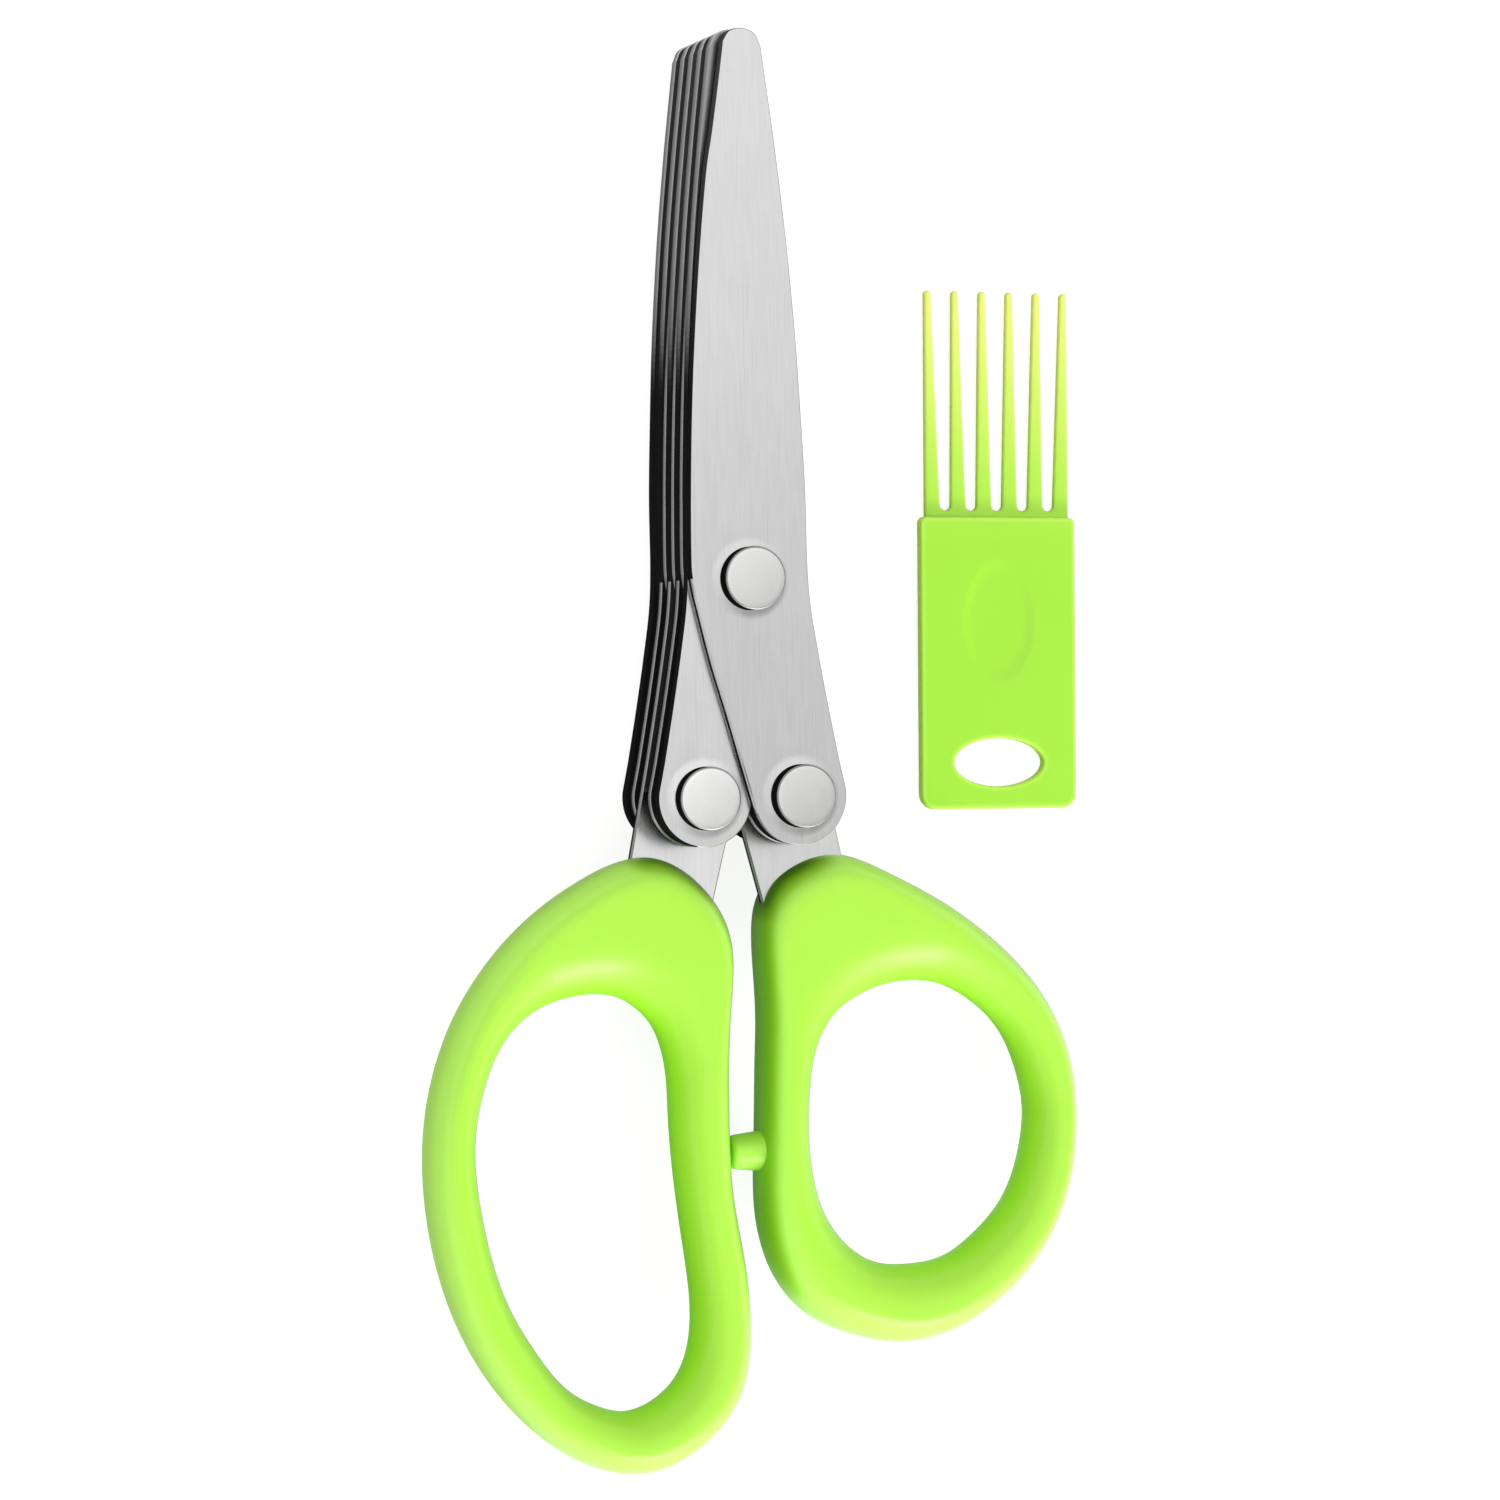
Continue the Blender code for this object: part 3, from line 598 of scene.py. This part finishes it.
def cover(loops):
    """Triangles that fill the first loop, less the loops inside it."""
    flat = [np.column_stack([loop, np.zeros(len(loop))]).tolist() for loop in loops]
    return np.array(tessellate_polygon(flat))


def dish_shell(loop, profile, high, first):
    """Points and faces of a dish in a face at one height: for each share and depth of the profile the loop is
    scaled about its middle and sunk, and a fan closes the bottom. Its points begin at the index first."""
    centre = loop.mean(0)
    size = len(loop)
    points, faces = [], []
    for step, (share, depth) in enumerate(profile):
        place = centre + (loop - centre) * share
        points.append(np.column_stack([place, np.full(size, high - depth)]))
        if step:
            faces += strip_faces(size, first + (step - 1) * size, first + step * size).tolist()
    points.append([[centre[0], centre[1], high - profile[-1][1]]])
    last = first + (len(profile) - 1) * size
    here = np.arange(size)
    fan = np.stack([last + here, last + (here + 1) % size, np.full(size, last + size)], 1)
    return points, faces + fan.tolist()


def edged_plate(loops, low, high, edge, steps, margin=None, dish=None):
    """Plate with rolled edges. Row k of each loop is inset by edge (1 - sin t) and lies edge (1 - cos t) from
    its face, t = 90 k / steps degrees. Holes run clockwise. A margin is a strip of that width round the upper
    face. A dish is a loop and its rows of inward share and depth.

    Returns points, faces and the kind of each face."""
    turn = np.linspace(0, math.pi / 2, steps + 1)
    rows = [(edge * (1 - math.sin(t)), high - edge * (1 - math.cos(t))) for t in turn]
    lower_rows = [(distance, low + high - level) for distance, level in rows[::-1]]
    rows += [(0.0, (low + high) / 2)] + lower_rows
    row_kinds = [ROLL] * steps + [UPPER_WALL, LOWER_WALL] + [ROLL] * steps
    if margin is not None:
        rows = [(edge + margin, high)] + rows
        row_kinds = [MARGIN] + row_kinds
    sizes = [len(loop) for loop in loops]
    starts = np.cumsum([0] + sizes[:-1])
    total = sum(sizes)
    points, faces, kinds = [], [], []
    for distance, level in rows:
        flat = np.concatenate([inset(loop, distance) for loop in loops])
        points.append(np.column_stack([flat, np.full(total, level)]))
    for row, kind in enumerate(row_kinds):
        for size, start in zip(sizes, starts):
            faces += strip_faces(size, row * total + start, (row + 1) * total + start).tolist()
            kinds += [kind] * size
    inner = [inset(loop, rows[0][0]) for loop in loops]
    upper = cover(inner if dish is None else inner + [dish[0]])
    if dish is not None:
        upper = np.where(upper >= total, upper - total + len(rows) * total, upper)
    lower = cover([inset(loop, edge) for loop in loops]) + (len(rows) - 1) * total
    for part, kind in ((upper, UPPER_FACE), (lower, LOWER_FACE)):
        faces += part.tolist()
        kinds += [kind] * len(part)
    if dish is not None:
        dish_points, dish_faces = dish_shell(*dish, high, len(rows) * total)
        points += dish_points
        faces += dish_faces
        kinds += [UPPER_FACE] * len(dish_faces)
    return np.concatenate(points), faces, np.array(kinds)


def turned(profile, steps=ROUND_STEPS):
    """Body of revolution: (r cos t, r sin t, z) for each (r, z) of a profile whose ends lie on the axis."""
    radii, levels = np.asarray(profile, float).T
    rings = np.concatenate([
        np.column_stack([circle((0, 0), (radius, radius), steps), np.full(steps, level)])
        for radius, level in zip(radii[1:-1], levels[1:-1])
    ])
    points = np.concatenate([rings, [[0, 0, levels[0]], [0, 0, levels[-1]]]])
    faces = []
    for ring in range(len(radii) - 3):
        faces += strip_faces(steps, ring * steps, (ring + 1) * steps).tolist()
    here = np.arange(steps)
    after = (here + 1) % steps
    last = len(rings) - steps
    faces += np.stack([np.full(steps, len(rings)), after, here], 1).tolist()
    faces += np.stack([last + here, last + after, np.full(steps, len(rings) + 1)], 1).tolist()
    return points, faces


def join(*shells):
    """Several shells as the points and faces of one piece."""
    points, faces, start = [], [], 0
    for shell_points, shell_faces in shells:
        points.append(shell_points)
        faces += [[corner + start for corner in face] for face in shell_faces]
        start += len(shell_points)
    return np.concatenate(points), faces


def add_piece(name, node, body, material, points, faces, marks=None, sharp_deg=30.0):
    """Make a piece that stands for a node: outward faces, smooth rounds, and marks by point or by face."""
    mesh = bpy.data.meshes.new(name)
    mesh.from_pydata(np.asarray(points).tolist(), [], faces)
    work = bmesh.new()
    work.from_mesh(mesh)
    bmesh.ops.recalc_face_normals(work, faces=work.faces)
    work.to_mesh(mesh)
    work.free()
    for mark, values in (marks or {}).items():
        attribute = mesh.attributes.new(mark, "FLOAT", "POINT" if len(values) == len(points) else "FACE")
        attribute.data.foreach_set("value", np.asarray(values, np.float32))
    mesh.shade_smooth()
    mesh.set_sharp_from_angle(angle=math.radians(sharp_deg))
    mesh.materials.append(material)
    piece = bpy.data.objects.new(name, mesh)
    bpy.context.scene.collection.objects.link(piece)
    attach(piece, body)
    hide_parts(node)


def of_blade(shares, reach):
    """Shares of the blade's half width and of a reach as places."""
    return [(across * BLADE_HALF_WIDTH, along * reach) for across, along in shares]


def arm_point(along, across):
    """Place measured from the right rivet: along the arm away from the pivot, and across it."""
    cos, sin = math.cos(ARM_ANGLE), math.sin(ARM_ANGLE)
    return (
        RIGHT_RIVET[0] + along * sin + across * cos,
        RIGHT_RIVET[1] - along * cos + across * sin,
    )


def blade_outline(with_tang):
    """Outline of a right-set blade: cutting side, tip, spine, then its round end or its tang."""
    edge = of_blade(HIP_SHARES, RIVET_DROP) + of_blade(EDGE_SHARES + TIP_SHARES[:1], BLADE_REACH)
    spine = of_blade(TIP_SHARES[-1:] + SPINE_SHARES, BLADE_REACH) + of_blade(WAIST_SHARES, RIVET_DROP)
    tip = smooth_line(of_blade(TIP_SHARES, BLADE_REACH), CURVE_STEPS // 2)
    if with_tang:
        end = np.array([
            arm_point(along * TANG_REACH, across * BLADE_END_RADIUS) for along, across in TANG_SHARES
        ])
    else:
        end = arc(RIGHT_RIVET, BLADE_END_RADIUS, WAIST_END_DEG - 360, HIP_START_DEG)[1:-1]
    return np.concatenate([smooth_line(edge), tip[1:-1], smooth_line(spine), end])


def blade_tones(node, points, faces, kinds):
    """Tone of each face of a blade: painted light and shade. It starts from the face's kind: only the stack's
    top and bottom faces are bare steel, the tangs' faces get painted light and the faces between blades painted
    shade. Walls get painted shade on the cutting side and at the right set's tips, and the left set's cutting
    side gets painted light towards the tips. The waist of the top blade gets painted light. Walls that don't
    face left are plain steel, the others keep their painted shade, and the top left blade has its ground
    margin, painted darker as its reflection."""
    side = node.split("_")[0]
    middles = np.array([points[face].mean(0) for face in faces])
    ahead = np.array([points[face[1]] - points[face[0]] for face in faces])
    near_tip = smooth(middles[:, 1], TIP_START, TIP_END)
    rim = (kinds == ROLL) | (kinds == UPPER_WALL)
    foot = kinds == LOWER_WALL
    cutting = (middles[:, 0] * (1 if side == "right" else -1) > 0) & (middles[:, 1] > 0)
    # painted light on the tangs' faces, painted shade on the faces and walls hidden between blades
    upper_tone = TANG_FACE_TONE[side] if "tang" in node else 1.0 if node.endswith("1") else DARK_TONE
    lower_tone = 1.0 if node.endswith("5") else DARK_TONE
    roll_tone = DARK_TONE if node[-1] in "15" else EDGE_TONE
    tones = np.array([upper_tone, lower_tone, roll_tone, WALL_TONES[node], upper_tone, DARK_TONE])[kinds]
    if node == "right_blade_1":
        tones = np.where(rim & (middles[:, 1] < 0), WAIST_WALL_TONE, tones)
        tones = np.where(rim & (middles[:, 1] < -RIVET_DROP), EDGE_TONE, tones)
    if side == "left":
        cutting_tone = DARK_TONE + (TIP_WALL_TONE - DARK_TONE) * near_tip
        tones = np.where(foot & cutting, DARK_TONE + (TIP_FOOT_TONE - DARK_TONE) * near_tip, tones)
    else:
        cutting_tone = DARK_TONE
        tones = np.where(rim, tones + (DARK_TONE - tones) * near_tip, tones)
    tones = np.where(rim & cutting, cutting_tone, tones)
    faces_left = -ahead[:, 1] > LEFT_FACING * np.linalg.norm(ahead, axis=1)
    tones = np.where((rim | foot) & ~faces_left, OPEN_WALL_TONE, tones)
    if node == "left_blade_1":
        tones = np.where((kinds == MARGIN) & cutting, GROUND_REFLECTION_TONE, tones)
    return tones


def make_blade(node, body, material):
    """Flat ground blade with a fine broken edge."""
    with_tang = "tang" in node
    low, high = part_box(node)
    outline = blade_outline(with_tang)
    bore = (SHANK_BORE, SHANK_BORE)
    holes = [circle((0, 0), bore), circle(RIGHT_RIVET, bore)]
    if with_tang:
        place = arm_point(TANG_HOLE_SHARE * TANG_REACH, 0)
        holes.append(circle(place, (TANG_HOLE_RADIUS, TANG_HOLE_RADIUS)))
    if node.startswith("left"):
        outline = reverse(to_left(outline))
        holes = [reverse(to_left(hole)) for hole in holes]
    loops = [inset(loop, TRIM) for loop in [outline] + [reverse(hole) for hole in holes]]
    points, faces, kinds = edged_plate(loops, low.z, high.z, BLADE_EDGE, BLADE_EDGE_STEPS, GROUND_WIDTH)
    tones = {"tone": blade_tones(node, points, faces, kinds)}
    add_piece(f"fine_{node}", node, body, material, points, faces, tones, BLADE_SHARP_DEG)


def head_profile(seat, face):
    """Half section of a rivet's head from its seat to the middle of its face: a straight side, a rolled rim
    HEAD_ROUND (1 - cos t, 1 - sin t) and a slight crown."""
    way = 1 if face > seat else -1
    turn = np.linspace(0, math.pi / 2, RIM_STEPS + 1)
    shoulder = face - way * (HEAD_ROUND + HEAD_CROWN)
    rim = [
        (HEAD_RADIUS - HEAD_ROUND * (1 - math.cos(t)), shoulder + way * HEAD_ROUND * math.sin(t))
        for t in turn
    ]
    flat = HEAD_RADIUS - HEAD_ROUND
    crown = [(flat * share, face - way * HEAD_CROWN * share**2) for share in CROWN_SHARES]
    return [(HEAD_RADIUS, seat)] + rim + crown


def make_rivet(name, place, body, material):
    """Rivet with its shank, and the hollow cap that the shank ends in."""
    low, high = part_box(name)
    seat = high.z - HEAD_HEIGHT
    rivet = [(0, low.z), (SHANK_RADIUS, low.z), (SHANK_RADIUS, seat)] + head_profile(seat, high.z)
    low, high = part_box(f"{name}_cap")
    socket = low.z + CAP_FLOOR
    cap = [(0, socket), (SHANK_BORE, socket), (SHANK_BORE, high.z)] + head_profile(high.z, low.z)
    for node, profile in ((name, rivet), (f"{name}_cap", cap)):
        points, faces = turned(profile)
        add_piece(f"fine_{node}", node, body, material, points + [*place, 0], faces)


def ring_sections(ring, shares):
    """Outer and inner points of the ring's sections, from shares of the ring's width and length."""
    shares = np.array(shares)
    across = ring["side"] + shares[:, 0::2] * ring["width"]
    along = ring["top"] - shares[:, 1::2] * ring["length"]
    stations = np.stack([across[:, 0], along[:, 0], across[:, 1], along[:, 1]], 1)
    places = closed_curve(stations, RING_STEPS)
    return places[:, :2], places[:, 2:]


def ring_shell(outer, inner, low, high):
    """Handle ring S(s, v): section s runs from the outer wall over a superellipse roll
    (1 - cos^q t, sin^q t), q = 2 / ROLL_POWER, across the top, and down a wider roll to the hole.

    Returns points, faces and each point's share of the outer and of the inner wall: 1 at mid height, 0 on the
    flats."""
    width = np.linalg.norm(inner - outer, axis=1)[:, None]
    across = (inner - outer) / width
    outer = outer + across * TRIM
    width = width - TRIM
    outer_roll = np.minimum(OUTER_ROLL, OUTER_ROLL_SHARE * width)
    inner_roll = np.minimum(INNER_ROLL, INNER_ROLL_SHARE * width)
    turn = np.linspace(0, math.pi / 2, ROLL_STEPS + 1)
    along = 1 - np.cos(turn) ** (2 / ROLL_POWER)
    rise = np.sin(turn) ** (2 / ROLL_POWER)
    half = (high - low) / 2
    middle = (high + low) / 2
    start = outer + across * outer_roll
    end = inner - across * inner_roll
    roll = list(zip(along, rise))
    upper = [(outer + across * outer_roll * share, height * half) for share, height in roll]
    upper += [(start + (end - start) * share, half) for share in np.arange(1, FLAT_STEPS) / FLAT_STEPS]
    upper += [(inner - across * inner_roll * share, height * half) for share, height in roll[::-1]]
    lower = [(places, -height) for places, height in upper[-2:0:-1]]
    rows = upper + lower
    walls = np.zeros((2, len(upper)))
    walls[0, :ROLL_STEPS + 1] = 1 - rise
    walls[1] = walls[0, ::-1]
    walls = np.concatenate([walls, walls[:, -2:0:-1]], 1)
    points = np.concatenate([
        np.column_stack([places, np.full(RING_STEPS, middle + height)]) for places, height in rows
    ])
    faces = []
    for row in range(len(rows)):
        next_row = (row + 1) % len(rows)
        faces += strip_faces(RING_STEPS, row * RING_STEPS, next_row * RING_STEPS).tolist()
    return points, faces, np.repeat(walls, RING_STEPS, 1)


def wall_marks(points, walls, ring, shade, nub_points):
    """Marks of a handle's points. The tone is painted shade, deeper on the outer wall in the corner beside the
    tang and where it faces the other handle. The gloss is lower there and on the inner wall, which also gets
    painted bounce light. The outer roll is pale with painted rim light. The nub's points, which follow, have
    marks of their own, with a little painted rim light."""
    corner = shade["corner"]
    near = 1 - smooth(np.hypot(points[:, 0] - corner[0], points[:, 1] - corner[1]), *shade["reach"])
    facing = 1 - smooth(np.abs(points[:, 0] - ring["side"]), *WALL_REACH)
    # painted shade in the corner beside the tang and on the wall facing the other handle
    depth = smooth(walls[0], 0.0, 0.6) * np.maximum(shade["depth"] * near, shade["wall_depth"] * facing)
    inner = smooth(walls[1], 0.2, 0.8)
    gloss = (1 - inner) * (1 - smooth(depth, 0.0, 0.5))
    edge = (1 - (1 - walls[0]) ** ROLL_POWER) ** (1 / ROLL_POWER)
    # painted rim light on the outer roll
    pale = smooth(edge, 0.0, 0.55) * (1 - smooth(walls[0], 0.35, 0.9)) * (1 - smooth(depth, 0.0, 0.25))
    marks = {
        "tone": (1 - depth, 1.0), "gloss": (gloss, 1.0), "bounce_light": (inner, 0.0), "pale": (pale, NUB_PAINTED_LIGHT),
    }
    return {name: np.append(shares, [nub] * nub_points) for name, (shares, nub) in marks.items()}


def wall_at(outer, ring, level):
    """X of the wall that faces the other handle, at a level along Y."""
    near = outer[np.abs(outer[:, 0] - ring["side"]) < abs(ring["width"]) / 4]
    near = near[np.argsort(near[:, 1])]
    return float(np.interp(level, near[:, 1], near[:, 0]))


def nub_shell(root, tip, level, middle):
    """Stop nub: a tapering stub of revolution about X whose end rolls over, from the root inside the wall."""
    length = root - tip
    turn = np.linspace(0, math.pi / 2, RIM_STEPS + 1)
    profile = [(0, 0), (NUB_ROOT_RADIUS, 0)]
    profile += [
        (NUB_TIP_RADIUS - NUB_ROUND * (1 - math.cos(t)), length - NUB_ROUND * (1 - math.sin(t)))
        for t in turn
    ]
    profile.append((0, length))
    points, faces = turned(profile, NUB_STEPS)
    x, y, z = points.T
    return np.column_stack([root - z, level + y, middle + x]), faces


def make_handles(material):
    """Both handle rings, and the nub on the right one that stops them when closed."""
    right_outer, right_inner = ring_sections(RIGHT_RING, RIGHT_SECTION_SHARES)
    left_outer, left_inner = ring_sections(LEFT_RING, LEFT_SECTION_SHARES)
    low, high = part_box("right_handle")
    middle = (low.z + high.z) / 2
    level = RIGHT_RING["top"] - NUB_PLACE_SHARE * RIGHT_RING["length"]
    root = wall_at(right_outer, RIGHT_RING, level) + NUB_ROOT_DEPTH
    tip = wall_at(left_outer, LEFT_RING, level) + NUB_GAP
    nub = nub_shell(root, tip, level, middle)
    points, faces, walls = ring_shell(right_outer, right_inner, low.z, high.z)
    marks = wall_marks(points, walls, RIGHT_RING, RIGHT_SHADE, len(nub[0]))
    points, faces = join((points, faces), nub)
    add_piece(
        "fine_right_handle", "right_handle", "right_half", material, points, faces, marks,
    )
    low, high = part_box("left_handle")
    points, faces, walls = ring_shell(left_outer, left_inner, low.z, high.z)
    marks = wall_marks(points, walls, LEFT_RING, LEFT_SHADE, 0)
    add_piece(
        "fine_left_handle", "left_handle", "left_half", material, points, faces, marks,
    )


def on_comb(points):
    """Carry the comb's own places to where it lies."""
    points = np.array(points, float)
    cos, sin = math.cos(COMB_TURN), math.sin(COMB_TURN)
    x, y = points[:, 0].copy(), points[:, 1].copy()
    points[:, 0] = COMB_PLACE[0] + x * cos - y * sin
    points[:, 1] = COMB_PLACE[1] + x * sin + y * cos
    return points


def comb_body_outline():
    """Rectangle with round corners, counter-clockwise from its lower right one."""
    low, high, half = -COMB_LENGTH / 2, COMB_LENGTH / 2, COMB_WIDTH / 2
    corners = [
        ((half - COMB_CORNER, low + COMB_CORNER), COMB_CORNER, -90),
        ((half - COMB_SHOULDER, high - COMB_SHOULDER), COMB_SHOULDER, 0),
        ((COMB_SHOULDER - half, high - COMB_SHOULDER), COMB_SHOULDER, 90),
        ((COMB_CORNER - half, low + COMB_CORNER), COMB_CORNER, 180),
    ]
    return np.concatenate([
        arc(centre, radius, start, start + 90, CORNER_STEPS) for centre, radius, start in corners
    ])


def teeth_outline():
    """Root band and tapered teeth, counter-clockwise, with half-round tips and half-round valleys."""
    root_level = COMB_LENGTH / 2 + BAND_RISE
    tip_level = root_level + TOOTH_LENGTH
    band = TOOTH_ROOT_PITCH * (TOOTH_COUNT - 1) + TOOTH_ROOT_WIDTH
    base = COMB_LENGTH / 2 - BAND_OVERLAP
    tip_radius = TOOTH_TIP_WIDTH / 2
    valley = (TOOTH_ROOT_PITCH - TOOTH_ROOT_WIDTH) / 2
    parts = [[(-band / 2, base), (band / 2, base), (band / 2, root_level)]]
    for number in reversed(range(TOOTH_COUNT)):
        place = number - (TOOTH_COUNT - 1) / 2
        tip = (place * TOOTH_TIP_PITCH, tip_level - tip_radius)
        parts.append(arc(tip, tip_radius, 0, 180, TOOTH_STEPS))
        if number:
            foot = ((place - 0.5) * TOOTH_ROOT_PITCH, root_level + valley)
            parts.append(arc(foot, valley, 0, -180, TOOTH_STEPS))
    parts.append([(-band / 2, root_level)])
    return np.concatenate(parts)


def rim_light_marks(count, steps, start, margin_rows=0, rest=0):
    """Shares of the painted rim light at a plate's points, row by row: 0 at the margin's inner line, from start
    to 1 over the upper roll, 1 on the walls and the lower roll, and 0 at the lower face and the rest."""
    rows = [0.0] * margin_rows + np.linspace(start, 1, steps + 1).tolist() + [1.0] * (steps + 1) + [0.0]
    return np.concatenate([np.repeat(rows, count), np.zeros(rest)])


def make_comb(material):
    """Comb: a slab with its hanging hole and thumb rest, and the thinner band that carries the teeth."""
    low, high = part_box("cleaning_comb")
    hole = reverse(circle((0, -COMB_HOLE_DROP), (COMB_HOLE[0] / 2, COMB_HOLE[1] / 2)))
    rest = reverse(circle((0, REST_RISE), (REST_SIZE[0] / 2, REST_SIZE[1] / 2)))
    fall = np.linspace(0, 1, DISH_STEPS + 1)
    profile = [(1 - REST_NARROWING * part, REST_DEPTH * smooth(part, 0, 1)) for part in fall]
    loops = [inset(comb_body_outline(), TRIM), hole]
    points, faces, _ = edged_plate(
        loops, low.z, high.z, COMB_EDGE, COMB_EDGE_STEPS, COMB_MARGIN, (rest, profile),
    )
    dish_size = len(profile) * len(rest) + 1
    # painted rim light on the edges of the slab and of the teeth
    edge = rim_light_marks(len(loops[0]) + len(hole), COMB_EDGE_STEPS, COMB_ROLL_RIM_LIGHT, 1, dish_size)
    middle = (low.z + high.z) / 2
    outline = inset(teeth_outline(), TRIM)
    teeth_points, teeth_faces, _ = edged_plate(
        [outline], middle - TOOTH_THICKNESS / 2, middle + TOOTH_THICKNESS / 2, TOOTH_EDGE, TOOTH_EDGE_STEPS,
    )
    points, faces = join((points, faces), (teeth_points, teeth_faces))
    marks = {"edge": np.append(edge, rim_light_marks(len(outline), TOOTH_EDGE_STEPS, 0.0))}
    points = on_comb(points)
    add_piece("fine_cleaning_comb", "cleaning_comb", "comb", material, points, faces, marks)


def seen_directly(finish, shiny):
    """1 for rays from the camera or a clear surface, less for those that a shiny surface sends on, else 0."""
    camera = finish.node("ShaderNodeLightPath", output="Is Camera Ray")
    glossy = finish.node("ShaderNodeLightPath", output="Is Glossy Ray")
    clear = finish.node("ShaderNodeLightPath", output="Is Transmission Ray")
    return finish.math("MAXIMUM", camera, finish.math("MAXIMUM", shiny * glossy, clear))


def make_floor():
    """Plain pale floor that looks white to the camera and keeps a soft shadow."""
    mesh = bpy.data.meshes.new("floor")
    ways = [(-1, -1), (1, -1), (1, 1), (-1, 1)]
    corners = [(x * FLOOR_REACH, y * FLOOR_REACH, FLOOR_LEVEL) for x, y in ways]
    mesh.from_pydata(corners, [], [(0, 1, 2, 3)])
    floor = bpy.data.objects.new("floor", mesh)
    bpy.context.scene.collection.objects.link(floor)
    material, finish = new_material("pale_floor")
    near_lamp = finish.steps(finish.towards(finish.place(), LAMP_SIDE), *SHINE_REACH)
    shows = seen_directly(finish, FLOOR_SHINE + (1.0 - FLOOR_SHINE) * near_lamp)
    finish.set(
        Base_Color=(FLOOR_TONE, FLOOR_TONE, FLOOR_TONE, 1.0),
        Roughness=1.0,
        Specular_IOR_Level=0.0,
        Emission_Color=finish.tint((1.0, 1.0, 1.0), FLOOR_GLOW * shows),
        Emission_Strength=1.0,
    )
    mesh.materials.append(material)


def make_world():
    """Studio surroundings: a lit ceiling that is dimmer towards the lamp's side, and a bright band low all
    round, brightest on the lamp's side."""
    world = bpy.data.worlds.new("studio")
    world.use_nodes = True
    bpy.context.scene.world = world
    finish = Finish(world.node_tree)
    direction = finish.node("ShaderNodeTexCoord", output=0)
    height = finish.axis(direction, 2)
    lean = finish.towards(direction, LAMP_SIDE)
    ceiling = CEILING_LEVEL * finish.steps(height, 0.6, 0.85) * (1.0 - finish.steps(lean, 0.0, 0.5))
    wall = WALL_LEVEL + WALL_GAIN * finish.steps(lean, 0.1, 0.7)
    low = 1.0 - finish.steps(height, 0.05, 0.4)
    upper = SKY_LEVEL + ceiling
    strength = upper + (wall - upper) * low
    background = world.node_tree.nodes["Background"]
    world.node_tree.links.new(strength.socket, background.inputs["Strength"])
    background.inputs["Color"].default_value = (1.0, 1.0, 1.0, 1.0)


def add_key_lamp():
    """Square softbox in front of the scissors and to their right."""
    lamp = bpy.data.lights.new("key", "AREA")
    lamp.shape = "SQUARE"
    lamp.size = LAMP_SIZE
    lamp.energy = LAMP_POWER
    item = bpy.data.objects.new("key", lamp)
    bpy.context.scene.collection.objects.link(item)
    item.location = LAMP_PLACE
    item.rotation_euler = Matrix(look_axes(np.array(LAMP_PLACE) - np.array(LAMP_AIM))).to_euler()


def look_axes(back):
    """Rotation whose Z axis points back from what is looked at, as rows."""
    z = back / np.linalg.norm(back)
    x = np.cross((0, 1, 0), z)
    x = x / np.linalg.norm(x)
    y = np.cross(z, x)
    return np.stack([x, y, z], 1).tolist()


def make_camera():
    """Camera at the photograph's angle: yawed to the left of straight down, and rolled a little."""
    cos, sin = math.cos(CAMERA_ROLL), math.sin(CAMERA_ROLL)
    roll = np.array([[cos, sin, 0], [-sin, cos, 0], [0, 0, 1]])
    back = roll @ np.array([-math.sin(CAMERA_YAW), 0, math.cos(CAMERA_YAW)])
    right = roll @ np.array([math.cos(CAMERA_YAW), 0, math.sin(CAMERA_YAW)])
    up = np.cross(back, right)
    data = bpy.data.cameras.new("camera")
    data.sensor_width = SENSOR
    data.lens = SENSOR * PHOTO_SCALE * CAMERA_DISTANCE / MM / PHOTO_WIDTH
    data.clip_start = 0.01
    data.clip_end = 50.0
    camera = bpy.data.objects.new("camera", data)
    bpy.context.scene.collection.objects.link(camera)
    place = roll @ np.array(CAMERA_TARGET) + back * CAMERA_DISTANCE
    turn = np.eye(4)
    turn[:3, :3] = np.stack([right, up, back], 1)
    turn[:3, 3] = place
    camera.matrix_world = Matrix(turn.tolist())
    bpy.context.scene.camera = camera


def build():
    """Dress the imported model."""
    pivot = (0.0, 0.0)
    left_rivet = tuple(to_left([RIGHT_RIVET])[0].tolist())
    # the two sides' steels differ in brightness as painted light
    steels = {
        "right": blade_steel(
            "right_brushed_steel", 0.0, BLADE_STEEL["right"], HIP_PAINTED_SHADE, [pivot, RIGHT_RIVET],
        ),
        "left": blade_steel("left_brushed_steel", CLOSING_TURN, BLADE_STEEL["left"], 0.0, [left_rivet]),
    }
    for side, steel in steels.items():
        for blade in ("blade_1", "blade_2", "tang_blade", "blade_4", "blade_5"):
            make_blade(f"{side}_{blade}", f"{side}_half", steel)
    washer = spacer_steel("washer_steel")
    for name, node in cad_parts.items():
        if "spacer" in name:
            node.data.materials.clear()
            node.data.materials.append(washer)
    # each rivet's steel has its own brightness, as painted light
    for which, place in (("right", RIGHT_RIVET), ("left", left_rivet), ("pivot", pivot)):
        body = "left_half" if which == "left" else "right_half"
        steel = rivet_steel(f"{which}_rivet_steel", place, RIVET_STEEL[which])
        make_rivet(f"{which}_rivet", place, body, steel)
    low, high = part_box("left_handle")
    make_handles(handle_plastic("lime_handle_plastic", (low.z + high.z) / 2))
    make_comb(comb_plastic("lime_comb_plastic"))
    make_floor()
    make_world()
    add_key_lamp()
    make_camera()
    bpy.context.scene.view_settings.view_transform = "Standard"


build()
